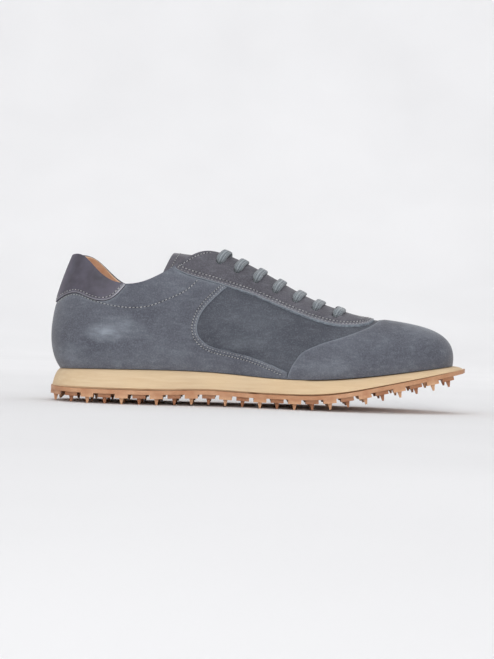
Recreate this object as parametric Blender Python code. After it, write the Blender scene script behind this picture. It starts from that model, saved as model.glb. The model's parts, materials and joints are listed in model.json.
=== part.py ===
"""Low leather sneaker for the left foot: a stitched upper on a flared midsole and a studded outsole.

Sizes are millimetres, turned to metres when a mesh is made. X runs from the heel to the toe, Y to the
outer (lateral) side of a left shoe, and Z up from the floor. Section sizes are measured from the back of
the heel. The empty that carries every piece puts the origin under the middle of the whole shoe.
"""

import math

import bmesh
import bpy
import numpy as np

MM = 0.001

# Sizes that drive the shoe
WALL = 1.6                # leather and lining of the upper's shell
OVERLAY = 1.1             # one layer of leather sewn over the shell
RAISED_OVERLAY = 2.0      # a piece that laps over a neighbouring overlay
SEAT_GAP = 0.3            # between pieces that touch in the real shoe
OVERLAY_GAP = 0.55        # between the curved shell and a layer on it
SHELL_DEPTH = OVERLAY + OVERLAY_GAP
LINING_DEPTH = SHELL_DEPTH + WALL

STUD_POINT = 4.3          # height of the spike on a stud
STUD_BLOCK = 2.8          # height of the square block that carries it
OUTSOLE_BAND = 2.9        # sheet that carries the studs
STUD_HEIGHT = STUD_POINT + STUD_BLOCK
SOLE_STACK = STUD_HEIGHT + OUTSOLE_BAND
STUD_SIDE = 9.0
STUD_ROWS = 24
STUD_FIRST_X = 6.4
STUD_PITCH = 12.05
STUD_SPACE = 17.0         # least space between studs across the shoe
SPIKE_BASE = 3.0
SPIKE_TIP = 1.2
STUD_ROOT = 1.2           # depth of a block inside the band
STUD_FLUSH = 0.15         # even rows stand this far inside the band's edge
STUD_SET_BACK = 3.4       # and odd rows this far
STUD_LEAST = 2.0          # width of a stud that the toe or heel trims

SPRING_START = 175.0      # the flat tread ends here and the toe starts to rise
SPRING_RADIUS = 200.0
SPRING_SLOPE = 0.22
HEEL_ROLL = 30.0          # the tread rounds up behind this x
HEEL_ROLL_RISE = 1.0
ARCH_START = 72.0         # the tread lifts a little between the heel and the ball
ARCH_END = 152.0
ARCH_RISE = 1.2

MIDSOLE_LEDGE = 0.6       # midsole shows this far past the foot of the upper
BAND_LEDGE = 0.6          # band shows this far past the foot of the midsole
INSOLE_THICKNESS = 3.0
INSOLE_INSET = LINING_DEPTH + 0.9

THROAT_Y = 1.0            # the lacing runs this far to the lateral side of the axis
GAP_LIFT = 0.06           # rise over the throat, as a share of its width
TONGUE_THICKNESS = 2.2
TONGUE_DEPTH = LINING_DEPTH + 2.5   # room for the lace under the facing
TONGUE_AHEAD = 17.0       # the tongue runs on this far under the vamp
TONGUE_FALL = 3.0         # and falls this much on the way

EYELET_RADIUS = 1.9
EYELET_SIDES = 6
LINING_HOLE_SIDES = 4
LACE_WIDTH = 5.2
LACE_THICKNESS = 1.3
LACE_UNDER_WIDTH = 3.4    # width of the lace squeezed under a facing's edge
LACE_NECK = 2.2           # width of the lace where it passes an eyelet
LACE_CLEARANCE = 0.55
LACE_LEAN = 4.8           # a bar crosses the throat this far ahead of its eyelets
BAR_LIFT = 0.01           # rise of a bar over the throat, as a share of its width
STUB_RISE = 1.2           # a tucked end arches this far over the facing
STUB_BEND = (2.6, 0.4)    # bends this far past the facing's edge and below its arch
STUB_TIP = (3.8, 3.4)     # and stops this far past and below
LACE_OVER = -(RAISED_OVERLAY - OVERLAY + LACE_CLEARANCE + LACE_THICKNESS / 2)
LACE_UNDER = LINING_DEPTH + LACE_CLEARANCE + LACE_THICKNESS / 2
LACE_IN_EYELET = (LACE_OVER + LACE_UNDER) / 2

# Sections of the upper, heel to toe. Each runs from its foot on the midsole to its top on the collar or
# the facing. Outward handles bend it: low ones leave the foot, high ones reach the top.
SECTION_COLUMNS = ("foot_x", "foot_medial", "foot_lateral", "top_x", "top_half", "top_z",
                   "low_out", "low_up", "high_out", "high_drop")
SECTIONS = {
    "heel_back":    (7.0, 0.0, 0.0, 13.5, 0.0, 103.5, 14.0, 18.0, 12.0, 30.0),
    "heel_side":    (18.0, 26.5, 26.0, 22.5, 12.5, 103.2, 10.0, 18.0, 13.0, 28.0),
    "heel_quarter": (45.0, 36.5, 36.5, 42.0, 26.5, 87.0, 7.0, 18.0, 10.0, 22.0),
    "collar_dip":   (64.0, 35.0, 37.5, 60.0, 30.5, 84.8, 6.0, 18.0, 7.0, 20.0),
    "waist":        (85.0, 31.0, 38.5, 78.0, 31.0, 92.0, 6.0, 18.0, 5.0, 22.0),
    "arch":         (106.0, 28.5, 40.0, 92.0, 28.5, 101.0, 7.0, 20.0, 7.0, 20.0),
    "facing_rear":  (124.0, 28.0, 42.5, 107.0, 17.5, 109.0, 9.0, 24.0, 15.0, 16.0),
    "facing_top":   (142.0, 30.5, 46.0, 125.0, 8.0, 106.6, 10.0, 26.0, 22.0, 13.0),
    "instep":       (166.0, 35.5, 50.5, 152.0, 7.5, 94.6, 9.0, 26.0, 24.0, 12.0),
    "ball":         (196.0, 38.0, 51.5, 183.0, 9.0, 78.6, 7.0, 24.0, 26.0, 8.0),
    "joint":        (230.0, 37.0, 47.0, 206.0, 9.0, 70.4, 6.0, 22.0, 26.0, 5.0),
    "toe":          (262.0, 27.5, 38.0, 213.0, 7.2, 68.0, 5.0, 23.0, 34.0, 4.0),
    "toe_corner":   (281.5, 15.5, 23.5, 216.2, 4.0, 67.4, 5.0, 25.0, 44.0, 3.0),
    "toe_tip":      (289.0, 0.0, 0.0, 217.0, 0.0, 67.2, 4.0, 26.0, 50.0, 3.0),
}

# The lateral collar comes down from the heel ahead of the medial one: its own top_x and top_half there
LATERAL_TOPS = {"heel_side": (26.5, 17.8), "heel_quarter": (46.0, 28.6)}

# Outline of the sole where the studs join it
SOLE_COLUMNS = ("x", "medial", "lateral")
SOLE_OUTLINE = {
    "heel_back":   (0.8, 0.0, 0.0),
    "heel_side":   (12.0, 30.5, 28.5),
    "heel_wide":   (46.0, 44.6, 42.5),
    "waist_rear":  (92.0, 38.4, 42.5),
    "waist":       (128.0, 31.4, 46.0),
    "waist_front": (162.0, 37.5, 54.0),
    "ball":        (202.0, 47.4, 56.0),
    "joint":       (234.0, 45.0, 50.6),
    "toe_side":    (268.0, 33.0, 36.5),
    "toe_corner":  (289.0, 18.5, 20.0),
    "toe_tip":     (298.0, 0.0, 0.0),
}

# Height of the midsole's upper face along the shoe, as x and height
MIDSOLE_TOP = ((0.0, 22.4), (30.0, 23.6), (60.0, 24.1), (95.0, 24.3), (125.0, 23.4), (160.0, 21.2),
               (190.0, 21.3), (214.0, 23.2), (250.0, 28.0), (290.0, 33.8), (300.0, 35.2))

# Side of the midsole from its top edge down: share of its height, share of its flare
MIDSOLE_SIDE = ((0.0, 0.0), (0.1, 0.28), (0.28, 0.54), (0.6, 0.8), (1.0, 1.0))

# Seams as seen from the side, x and z along each edge
HEEL_TAB_EDGE = ((3.6, 70.7), (12.8, 76.0), (20.0, 76.6), (30.3, 72.8), (37.9, 71.8), (45.0, 74.0),
                 (53.5, 83.0))
EYESTAY_EDGE = ((88.4, 96.0), (105.7, 89.9), (124.3, 85.2), (139.7, 81.0), (160.1, 73.3), (180.5, 65.7),
                (199.3, 60.8), (212.0, 60.2))
EYESTAY_NOSE_X = 229.0    # where the edge crosses the middle of the vamp
QUARTER_EDGE = ((125.1, 85.0), (116.6, 76.6), (109.3, 68.0), (105.4, 59.0), (105.8, 50.5), (111.0, 44.4),
                (150.0, 33.6), (168.6, 25.7))
TOE_SEAM = ((173.1, 33.9), (180.8, 42.1), (191.1, 46.4), (198.9, 49.4), (214.0, 55.1), (226.0, 60.3))
TOE_SEAM_NOSE_X = 236.0
TOE_SEAM_FOOT_X = 169.6

# Eyelets from the toe to the instep, as x and z from the side
EYELETS = ((201.7, 66.4), (187.4, 70.8), (173.4, 76.2), (159.0, 82.4), (145.0, 89.4), (131.4, 96.0),
           (118.5, 102.0))

# Rear edge of the tongue: half width across, x and z
TONGUE_REAR_EDGE = ((0.0, 86.0, 108.8), (13.0, 84.4, 106.0), (25.0, 78.9, 92.5))

# Counts of faces
AROUND = 60               # columns of the upper's wall
UP = 9                    # rows of the upper's wall
BEND_WEIGHT = 38.0        # columns stand closer where the outline turns
TOP_TURN_SHARE = 0.7      # a turn of the topline counts this much
ROW_POWER = 1.15          # and rows closer at the foot
ROW_EASE = 0.03           # and a little closer at the top

MATERIALS = {
    "nubuck":       ((0.105, 0.118, 0.138), 0.85),
    "smooth_leather": ((0.085, 0.083, 0.098), 0.55),
    "tan_leather":  ((0.46, 0.22, 0.12), 0.6),
    "lace_cotton":  ((0.19, 0.225, 0.25), 0.9),
    "foam":         ((0.66, 0.47, 0.26), 0.7),
    "gum_rubber":   ((0.46, 0.21, 0.105), 0.6),
}


def clear_scene():
    for thing in list(bpy.data.objects):
        bpy.data.objects.remove(thing, do_unlink=True)


def spline(knots, values, period=None):
    """A smooth curve through the rows of values: natural at its ends, or closed when it has a period."""
    knots = np.asarray(knots, float)
    values = np.asarray(values, float).reshape(len(knots), -1)
    if period is not None:
        knots = np.append(knots, knots[0] + period)
        values = np.vstack([values, values[:1]])
    steps = np.diff(knots)
    slopes = np.diff(values, axis=0) / steps[:, None]
    count = len(knots)
    matrix = np.eye(count)
    right = np.zeros_like(values)
    for i in range(1, count - 1):
        matrix[i, i - 1:i + 2] = steps[i - 1] / 6, (steps[i - 1] + steps[i]) / 3, steps[i] / 6
        right[i] = slopes[i] - slopes[i - 1]
    if period is not None:
        matrix[0, [0, 1, -2]] = (steps[-1] + steps[0]) / 3, steps[0] / 6, steps[-1] / 6
        right[0] = slopes[0] - slopes[-1]
        matrix[-1, 0] = -1.0
    bends = np.linalg.solve(matrix, right)

    def read(at):
        at = np.atleast_1d(np.asarray(at, float))
        if period is not None:
            at = knots[0] + np.mod(at - knots[0], period)
        i = np.clip(np.searchsorted(knots, at, side="right") - 1, 0, count - 2)
        h = steps[i][:, None]
        a = (knots[i + 1] - at)[:, None] / h
        b = 1.0 - a
        bent = (a ** 3 - a) * bends[i] + (b ** 3 - b) * bends[i + 1]
        return a * values[i] + b * values[i + 1] + bent * h ** 2 / 6

    return read


def curve_points(points, count):
    """Evenly spaced points on a smooth curve through the given ones."""
    points = np.asarray(points, float)
    run = np.append(0.0, np.cumsum(np.linalg.norm(np.diff(points, axis=0), axis=1)))
    return spline(run, points)(np.linspace(0.0, run[-1], count))


def tread(x):
    """Height of the tread: flat at the heel and ball, lifted at the arch, sprung at the toe."""
    x = np.asarray(x, float)
    run = np.maximum(x - SPRING_START, 0.0)
    bend = SPRING_RADIUS * SPRING_SLOPE
    toe = np.where(run < bend, run ** 2 / (2 * SPRING_RADIUS), SPRING_SLOPE * (run - bend / 2))
    heel = HEEL_ROLL_RISE * (np.maximum(HEEL_ROLL - x, 0.0) / HEEL_ROLL) ** 2
    span = np.clip((x - ARCH_START) / (ARCH_END - ARCH_START), 0.0, 1.0)
    return toe + heel + ARCH_RISE * np.sin(np.pi * span) ** 2


def tread_angle(x):
    """Slope of the tread, as an angle about Y."""
    return math.atan(float(tread(x + 0.5) - tread(x - 0.5)))


midsole_height = spline(*zip(*MIDSOLE_TOP))


def midsole_top(x):
    """Height of the midsole's upper face."""
    x = np.asarray(x, float)
    return midsole_height(x.ravel()).reshape(x.shape)


def midsole_foot(x):
    """Height of the midsole's lower face, just clear of the outsole."""
    return tread(x) + SOLE_STACK + SEAT_GAP


def feather(x):
    """Height of the foot of the upper, just clear of the midsole."""
    return midsole_top(x) + SEAT_GAP


def ring_of(rows):
    """Stations on the medial side from heel to toe, then back along the lateral side, with their side."""
    names = list(rows)
    medial = [(name, -1) for name in names]
    lateral = [(name, 1) for name in reversed(names[1:-1])]
    return medial + lateral


def closed_outline(points):
    """A smooth closed curve through plan points, its length, and where each point lies along it."""
    points = np.asarray(points, float)
    steps = np.linalg.norm(np.roll(points, -1, axis=0) - points, axis=1)
    knots = np.append(0.0, np.cumsum(steps))
    return spline(knots[:-1], points, knots[-1]), knots[-1], knots[:-1]


def outward_of(outline, at):
    """Unit normals of a closed outline that runs from the heel along the medial side to the toe."""
    step = 0.05
    along = outline(np.asarray(at) + step) - outline(np.asarray(at) - step)
    normal = np.stack([along[:, 1], -along[:, 0]], axis=1)
    return normal / np.linalg.norm(normal, axis=1)[:, None]


class UpperForm:
    """The outside of the lasted upper: a wall from the feather line to the collar and the throat.

    A place on it is u, along the foot outline from the heel by the medial side, and v, 0 at the foot and
    1 at the top. A depth moves it inwards along the normal.
    """

    NUDGE = 0.02
    V_NUDGE = 0.002

    def __init__(self):
        ring = ring_of(SECTIONS)
        rows = [dict(zip(SECTION_COLUMNS, SECTIONS[name])) for name, _ in ring]
        sides = [side for _, side in ring]
        for row, (name, side) in zip(rows, ring):
            if side > 0 and name in LATERAL_TOPS:
                row["top_x"], row["top_half"] = LATERAL_TOPS[name]
        feet = [(r["foot_x"], -r["foot_medial"] if s < 0 else r["foot_lateral"])
                for r, s in zip(rows, sides)]
        self.foot_outline, self.length, knots = closed_outline(feet)
        normals = outward_of(self.foot_outline, knots)
        controls = [self.bezier_of(r, s, f, n) for r, s, f, n in zip(rows, sides, feet, normals)]
        self.controls = spline(knots, np.array(controls).reshape(len(rows), 12), self.length)
        self.knot = {key: knot for key, knot in zip(ring, knots)}
        self.toe_u = self.knot[("toe_tip", -1)]
        self.columns = self.spaced_columns(AROUND)

    def spaced_columns(self, count):
        """Places along the foot outline, closer together where it turns."""
        at = np.linspace(0.0, self.length, 1441)
        feet = np.diff(self.foot_outline(at), axis=0)
        tops = np.diff(self.surface(at, np.ones_like(at))[:, :2], axis=0)
        turns = []
        for along in (feet, tops):
            heading = np.unwrap(np.arctan2(along[:, 1], along[:, 0]))
            turns.append(np.abs(np.append(np.diff(heading), 0.0)))
        faces = self.normal(at, np.full_like(at, 0.75))
        tilt = np.arccos(np.clip((faces[1:] * faces[:-1]).sum(axis=1), -1.0, 1.0))
        turn = np.maximum.reduce([turns[0], turns[1] * TOP_TURN_SHARE, tilt])
        measure = np.append(0.0, np.cumsum(np.linalg.norm(feet, axis=1) + BEND_WEIGHT * turn))
        return np.interp(np.linspace(0.0, measure[-1], count, endpoint=False), measure, at)

    def columns_between(self, stops):
        """The shared columns between the first and last stop, with every stop among them."""
        stops = np.sort(np.asarray(stops, float))
        shared = np.concatenate([self.columns - self.length, self.columns, self.columns + self.length])
        inside = shared[(shared > stops[0]) & (shared < stops[-1])]
        apart = np.abs(inside[:, None] - stops[None, :]).min(axis=1)
        return np.sort(np.append(inside[apart > 2.5], stops))

    @staticmethod
    def bezier_of(row, side, foot, normal):
        """The four corners of one section's curve."""
        start = np.array([*foot, feather(foot[0])])
        end = np.array([row["top_x"], THROAT_Y + side * row["top_half"], row["top_z"]])
        reach = start[:2] - end[:2] + normal * 10.0
        reach = reach / np.linalg.norm(reach)
        low = start + np.array([*(normal * row["low_out"]), row["low_up"]])
        high = end + np.array([*(reach * row["high_out"]), -row["high_drop"]])
        return start, low, high, end

    def surface(self, u, v):
        corners = self.controls(u).reshape(-1, 4, 3)
        v = np.asarray(v, float).reshape(-1, 1)
        w = 1.0 - v
        weights = np.stack([w ** 3, 3 * w * w * v, 3 * w * v * v, v ** 3], axis=1)
        return (weights * corners).sum(axis=1)

    def normal(self, u, v):
        along = self.surface(u + self.NUDGE, v) - self.surface(u - self.NUDGE, v)
        up = self.surface(u, v + self.V_NUDGE) - self.surface(u, v - self.V_NUDGE)
        normal = np.cross(along, up)
        return normal / np.linalg.norm(normal, axis=1)[:, None]

    def point(self, u, v, depth=0.0):
        """Points of the wall at this depth, their feet held on the midsole."""
        u, v = (np.asarray(a, float).ravel() for a in np.broadcast_arrays(u, v))
        at = self.surface(u, v) - self.normal(u, v) * depth
        at[v <= 0.0, 2] = feather(at[v <= 0.0, 0])
        return at

    def grid(self, u, v, depth):
        return self.point(u, v, depth).reshape(*np.shape(u), 3)

    def locate(self, x, z, side):
        """The u and v that show at x and z from the side."""
        ends = (0.0, self.toe_u) if side < 0 else (self.toe_u, self.length)
        span = np.linspace(*ends, 160)
        us, vs = (a.ravel() for a in np.meshgrid(span, np.linspace(0.0, 1.0, 60)))
        seen = self.surface(us, vs)[:, [0, 2]]
        best = np.argmin(((seen - (x, z)) ** 2).sum(axis=1))
        place = np.array([us[best], vs[best]])
        for _ in range(8):
            miss = self.surface(*place[:, None])[0, [0, 2]] - (x, z)
            by_u = self.surface(place[:1] + self.NUDGE, place[1:])[0, [0, 2]] - (x, z) - miss
            by_v = self.surface(place[:1], place[1:] + self.V_NUDGE)[0, [0, 2]] - (x, z) - miss
            jacobian = np.stack([by_u / self.NUDGE, by_v / self.V_NUDGE], axis=1)
            step = np.linalg.lstsq(jacobian, miss, rcond=None)[0]
            place = place - np.clip(step, (-4.0, -0.08), (4.0, 0.08))
            place[1] = min(max(place[1], 0.0), 1.0)
        return place

    def edge(self, points, side):
        """Places along a seam that is drawn from the side."""
        return np.array([self.locate(x, z, side) for x, z in points])

    def nose(self, x):
        """The place on the middle line of the vamp at this x."""
        v = np.linspace(0.0, 1.0, 400)
        seen = self.surface(np.full_like(v, self.toe_u), v)[:, 0]
        return np.array([self.toe_u, np.interp(-x, -seen[v > 0.3], v[v > 0.3])])


def seam_height(form, points, nose_x=None):
    """v along u for a seam on both sides of the shoe, joined over the vamp where it has a nose."""
    medial, lateral = form.edge(points, -1), form.edge(points, 1)
    if nose_x is None:
        lateral[:, 0] -= form.length
        places = np.vstack([lateral, medial])
    else:
        places = np.vstack([medial, form.nose(nose_x)[None], lateral])
    places = places[np.argsort(places[:, 0])]
    return spline(places[:, 0], places[:, 1]), places[0, 0], places[-1, 0]


def new_object(name, verts, faces, material, parent):
    mesh = bpy.data.meshes.new(name)
    mesh.from_pydata([tuple(v) for v in np.asarray(verts) * MM], [], faces)
    shape = bmesh.new()
    shape.from_mesh(mesh)
    bmesh.ops.recalc_face_normals(shape, faces=shape.faces)
    shape.to_mesh(mesh)
    shape.free()
    mesh.shade_smooth()
    mesh.set_sharp_from_angle(angle=math.radians(35.0))
    made = bpy.data.objects.new(name, mesh)
    bpy.context.scene.collection.objects.link(made)
    mesh.materials.append(material)
    made.parent = parent
    return made


def wall_between(name, outer, inner, material, parent, around=False):
    """A closed wall between two grids of points. Around joins its last column to its first.

    Every cell is split along the same diagonal, so layers that lie on each other keep their distance.
    """
    columns, rows = outer.shape[:2]
    size = columns * rows

    def at(layer, i, j):
        return layer * size + (i % columns) * rows + j

    faces = []
    for i in range(columns if around else columns - 1):
        for j in range(rows - 1):
            for layer in (0, 1):
                faces.append((at(layer, i, j), at(layer, i + 1, j), at(layer, i + 1, j + 1)))
                faces.append((at(layer, i, j), at(layer, i + 1, j + 1), at(layer, i, j + 1)))
        for j in (0, rows - 1):
            faces.append((at(0, i, j), at(1, i, j), at(1, i + 1, j), at(0, i + 1, j)))
    if not around:
        for i in (0, columns - 1):
            for j in range(rows - 1):
                faces.append((at(0, i, j), at(0, i, j + 1), at(1, i, j + 1), at(1, i, j)))
    verts = np.vstack([outer.reshape(-1, 3), inner.reshape(-1, 3)])
    return new_object(name, verts, faces, material, parent)


def capped_rings(name, rings, material, parent):
    """A closed solid through rings, the first at its top, its ends strips that follow the shoe's bend."""
    count = len(rings[0])
    half = count // 2
    faces = []
    for base, last in ((0, False), ((len(rings) - 1) * count, True)):
        for k in range(half):
            across = (count - k - 1) % count, (count - k) % count
            corners = list(dict.fromkeys([base + k, base + k + 1, base + across[0], base + across[1]]))
            if len(corners) > 2:
                faces.append(tuple(reversed(corners)) if last else tuple(corners))
    for r in range(len(rings) - 1):
        for i in range(count):
            j = (i + 1) % count
            faces.append((r * count + i, (r + 1) * count + i, (r + 1) * count + j, r * count + j))
    return new_object(name, np.vstack(rings), faces, material, parent)


def boolean(target, cutter, operation):
    """Applies a Boolean and removes its cutter."""
    step = target.modifiers.new(operation.lower(), "BOOLEAN")
    step.operation = operation
    step.solver = "EXACT"
    step.use_self = True
    step.object = cutter
    graph = bpy.context.evaluated_depsgraph_get()
    graph.update()
    result = bpy.data.meshes.new_from_object(target.evaluated_get(graph), depsgraph=graph)
    target.modifiers.remove(step)
    target.data = result
    bpy.data.objects.remove(cutter, do_unlink=True)
    return target


def make_material(name):
    colour, roughness = MATERIALS[name]
    material = bpy.data.materials.new(name)
    material.use_nodes = True
    shader = material.node_tree.nodes["Principled BSDF"]
    shader.inputs["Base Color"].default_value = (*colour, 1.0)
    shader.inputs["Roughness"].default_value = roughness
    shader.inputs["Metallic"].default_value = 0.0
    return material


def build_shell(form, materials, parent):
    """The upper's own wall: leather and lining in one, open at the collar, the throat and underneath."""
    uu, vv = np.meshgrid(form.columns, row_levels(UP), indexing="ij")
    outer = form.grid(uu, vv, SHELL_DEPTH)
    inner = form.grid(uu, vv, LINING_DEPTH)
    return wall_between("upper", outer, inner, materials["nubuck"], parent, around=True)


def build_overlay(name, form, uu, vv, rise, material, parent):
    """A layer of leather on the shell, between two depths of the upper's own form."""
    outer = form.grid(uu, vv, OVERLAY - rise)
    inner = form.grid(uu, vv, OVERLAY)
    return wall_between(name, outer, inner, material, parent)


def row_levels(count):
    """Levels from 0 to 1, closer together at both ends."""
    even = np.linspace(0.0, 1.0, count + 1)
    return even ** ROW_POWER - ROW_EASE * np.sin(2 * np.pi * even)


def rows_between(columns, low, high, count):
    """u and v of a grid whose columns run from a low to a high v."""
    share = np.linspace(0.0, 1.0, count)
    uu = np.repeat(columns[:, None], count, axis=1)
    return uu, low[:, None] + (high - low)[:, None] * share


def build_eyestay(form, edge, materials, parent):
    """The U that carries the eyelets, from the rear corner round the throat to the other rear corner."""
    height, first, last = edge
    columns = form.columns_between((first, form.toe_u, last))
    low = height(columns).ravel()
    uu, vv = rows_between(columns, low, np.ones_like(low), 4)
    return build_overlay("eyestay", form, uu, vv, RAISED_OVERLAY, materials["nubuck"], parent)


def build_heel_tab(form, edge, materials, parent):
    """Smooth leather round the top of the heel."""
    height, first, last = edge
    columns = form.columns_between((first, 0.0, last))
    low = height(columns).ravel()
    uu, vv = rows_between(columns, low, np.ones_like(low), 4)
    return build_overlay("heel_tab", form, uu, vv, RAISED_OVERLAY, materials["smooth_leather"], parent)


def build_quarter(form, tab_edge, eyestay_edge, materials, parent):
    """The rear panel, from its curved front edge on one side round the heel to the other."""
    margin = 0.006
    tab_height, tab_first, tab_last = tab_edge
    stay_height, stay_first, stay_last = eyestay_edge
    stay_last = stay_last - form.length

    def ceiling(u):
        """Highest v of the panel: under the tab, at the collar, or under the eyestay."""
        top = np.where((u >= tab_first) & (u <= tab_last), tab_height(u).ravel() - margin, 1.0)
        top = np.where(u >= stay_first, stay_height(u).ravel() - margin, top)
        return np.where(u <= stay_last, stay_height(u + form.length).ravel() - margin, top)

    fronts = {}
    for side in (-1, 1):
        places = form.edge(QUARTER_EDGE, side)
        front = places[:, 0] if side < 0 else places[:, 0] - form.length
        level = np.append(places[:, 1] / ceiling(front), 0.0)
        level[0] = 1.0
        front = np.append(front, front[-1])
        share = level[::-1] if side < 0 else share
        fronts[side] = np.interp(share, level[::-1], front[::-1])
    rear_last = fronts[-1].min() - 1.5
    rear_first = fronts[1].max() + 1.5
    step = SEAT_GAP * 1.3
    stops = (rear_first, stay_last, stay_last + step, tab_first - step, tab_first, 0.0,
             tab_last, tab_last + step, stay_first - step, stay_first, rear_last)
    middle = np.repeat(form.columns_between(stops)[:, None], len(share), axis=1)
    blend = np.linspace(0.0, 1.0, 6)[1:, None]
    ahead = rear_last + (fronts[-1] - rear_last)[None, :] * blend
    behind = rear_first + (fronts[1] - rear_first)[None, :] * blend[::-1]
    uu = np.vstack([behind, middle, ahead])
    vv = share[None, :] * ceiling(uu.ravel()).reshape(uu.shape)
    return build_overlay("quarter", form, uu, vv, OVERLAY, materials["nubuck"], parent)


def build_toe_panel(form, materials, parent):
    """The plain front panel below the toe seam."""
    margin = 0.006
    height, first, last = seam_height(form, TOE_SEAM, TOE_SEAM_NOSE_X)
    foot_first = form.locate(TOE_SEAM_FOOT_X, feather(TOE_SEAM_FOOT_X), -1)[0]
    foot_last = form.locate(TOE_SEAM_FOOT_X, feather(TOE_SEAM_FOOT_X), 1)[0]
    share = row_levels(8)
    start = foot_first + (first - foot_first) * share
    end = foot_last + (last - foot_last) * share
    inner_columns = form.columns_between((start.max() + 3.0, form.toe_u, end.min() - 3.0))
    uu = np.vstack([start, np.repeat(inner_columns[:, None], len(share), axis=1), end])
    vv = share[None, :] * (height(uu.ravel()).reshape(uu.shape) - margin)
    return build_overlay("toe_panel", form, uu, vv, OVERLAY, materials["nubuck"], parent)


def outline_ring(outline, length, count, offset, heights):
    """Points round an outline, moved out by an offset, at the height that their x gives."""
    at = np.linspace(0.0, length, count, endpoint=False)
    plan = outline(at) + outward_of(outline, at) * offset
    return np.column_stack([plan, heights(plan[:, 0])])


def sole_outline():
    ring = ring_of(SOLE_OUTLINE)
    rows = [dict(zip(SOLE_COLUMNS, SOLE_OUTLINE[name])) for name, _ in ring]
    points = [(r["x"], -r["medial"] if s < 0 else r["lateral"]) for r, (_, s) in zip(rows, ring)]
    return closed_outline(points)


def build_midsole(form, materials, parent):
    """Foam wedge, flush with the upper at its top and flared to the outsole."""
    count = 64
    sole, sole_length, _ = sole_outline()
    top = outline_ring(form.foot_outline, form.length, count, MIDSOLE_LEDGE, midsole_top)
    foot = outline_ring(sole, sole_length, count, -BAND_LEDGE, midsole_foot)
    rings = []
    for drop, flare in MIDSOLE_SIDE:
        plan = top[:, :2] + (foot[:, :2] - top[:, :2]) * flare
        upper_z, lower_z = midsole_top(plan[:, 0]), midsole_foot(plan[:, 0])
        rings.append(np.column_stack([plan, upper_z + (lower_z - upper_z) * drop]))
    return capped_rings("midsole", rings, materials["foam"], parent)


def build_insole(form, materials, parent):
    """Leather footbed inside the lining."""
    count = 48
    low = outline_ring(form.foot_outline, form.length, count, -INSOLE_INSET, feather)
    high = low + np.array([0.0, 0.0, INSOLE_THICKNESS])
    return capped_rings("insole", [high, low], materials["tan_leather"], parent)


def stud_shape(x, outer, inner):
    """Points and faces of one stud: a block sunk in the band, with a spike under it.

    Outer and inner are the y of its two sides at its rear and front end: an edge stud follows the outline.
    """
    slope = tread_angle(x)
    half = STUD_SIDE / 2
    base = np.array([x, 0.0, float(tread(x)) + STUD_HEIGHT])
    along = np.array([math.cos(slope), 0.0, math.sin(slope)])
    up = np.array([-math.sin(slope), 0.0, math.cos(slope)])
    side = np.array([0.0, 1.0, 0.0])
    block = ((-half, outer[0]), (half, outer[1]), (half, inner[1]), (-half, inner[0]))
    middle = (sum(outer) + sum(inner)) / 4
    verts = [base + along * a + side * b + up * STUD_ROOT for a, b in block]
    verts += [base + along * a + side * b - up * STUD_BLOCK for a, b in block]
    turn = 1.0 if sum(outer) > sum(inner) else -1.0
    corners = ((-1, turn), (1, turn), (1, -turn), (-1, -turn))
    for size, level in ((SPIKE_BASE / 2, STUD_BLOCK), (SPIKE_TIP / 2, STUD_HEIGHT)):
        verts += [base + along * a * size + side * (middle + b * size) - up * level for a, b in corners]
    faces = [(0, 1, 2, 3), (15, 14, 13, 12)]
    for level in range(3):
        for i in range(4):
            j = (i + 1) % 4
            faces.append((level * 4 + i, level * 4 + 4 + i, level * 4 + 4 + j, level * 4 + j))
    return verts, faces


def half_widths():
    """The sole's width on one side at any x, for the medial and the lateral side."""
    outline, length, _ = sole_outline()
    border = outline(np.linspace(0.0, length, 1200))
    widths = {}
    for side in (-1, 1):
        edge = border[border[:, 1] * side >= 0.0]
        edge = edge[np.argsort(edge[:, 0])]
        widths[side] = (edge[:, 0], edge[:, 1] * side)
    return widths


def stud_rows():
    """The studs of every row across the shoe, as x and the y of their two sides."""
    widths = half_widths()
    half = STUD_SIDE / 2
    for row in range(STUD_ROWS):
        x = STUD_FIRST_X + row * STUD_PITCH
        inset = STUD_SET_BACK if row % 2 else STUD_FLUSH
        reach = {}
        for side in (-1, 1):
            outer = np.interp((x - half, x + half), *widths[side], left=0.0, right=0.0) - inset
            inner = np.maximum(outer - STUD_SIDE, STUD_SPACE / 4)
            outer = np.maximum(outer, inner + STUD_LEAST)
            reach[side] = inner.min()
            yield x, outer * side, inner * side
        room = reach[-1] + reach[1]
        count = int((room - STUD_SPACE) // (STUD_SIDE + STUD_SPACE))
        for k in range(count):
            y = -reach[-1] + room * (k + 1) / (count + 1)
            yield x, np.full(2, y + half), np.full(2, y - half)


def build_outsole(materials, parent):
    """Gum rubber sheet with its studs."""
    count = 64
    outline, length, _ = sole_outline()
    top = outline_ring(outline, length, count, 0.0, lambda x: tread(x) + SOLE_STACK)
    low = outline_ring(outline, length, count, 0.0, lambda x: tread(x) + STUD_HEIGHT)
    sheet = capped_rings("outsole", [top, low], materials["gum_rubber"], parent)
    verts, faces = [], []
    for row in stud_rows():
        points, sides = stud_shape(*row)
        faces += [tuple(len(verts) + i for i in side) for side in sides]
        verts += points
    studs = new_object("studs", verts, faces, materials["gum_rubber"], parent)
    return boolean(sheet, studs, "UNION")


def throat_row(form, station, depth, reach, count):
    """Points across the throat at one station: under one facing, over the gap, under the other."""
    u_medial, u_lateral = station
    v = 1.0 - reach * np.linspace(1.0, 0.0, count)
    near = form.point(np.full(count, u_medial), v, depth)
    far = form.point(np.full(count, u_lateral), v, depth)
    gap = np.linalg.norm(far[-1] - near[-1])
    lift = np.array([0.0, 0.0, GAP_LIFT * gap])
    share = np.array([0.25, 0.5, 0.75])[:, None]
    bridge = near[-1] + (far[-1] - near[-1]) * share + lift * 4 * share * (1 - share)
    return np.vstack([near, bridge, far[::-1]])


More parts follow.
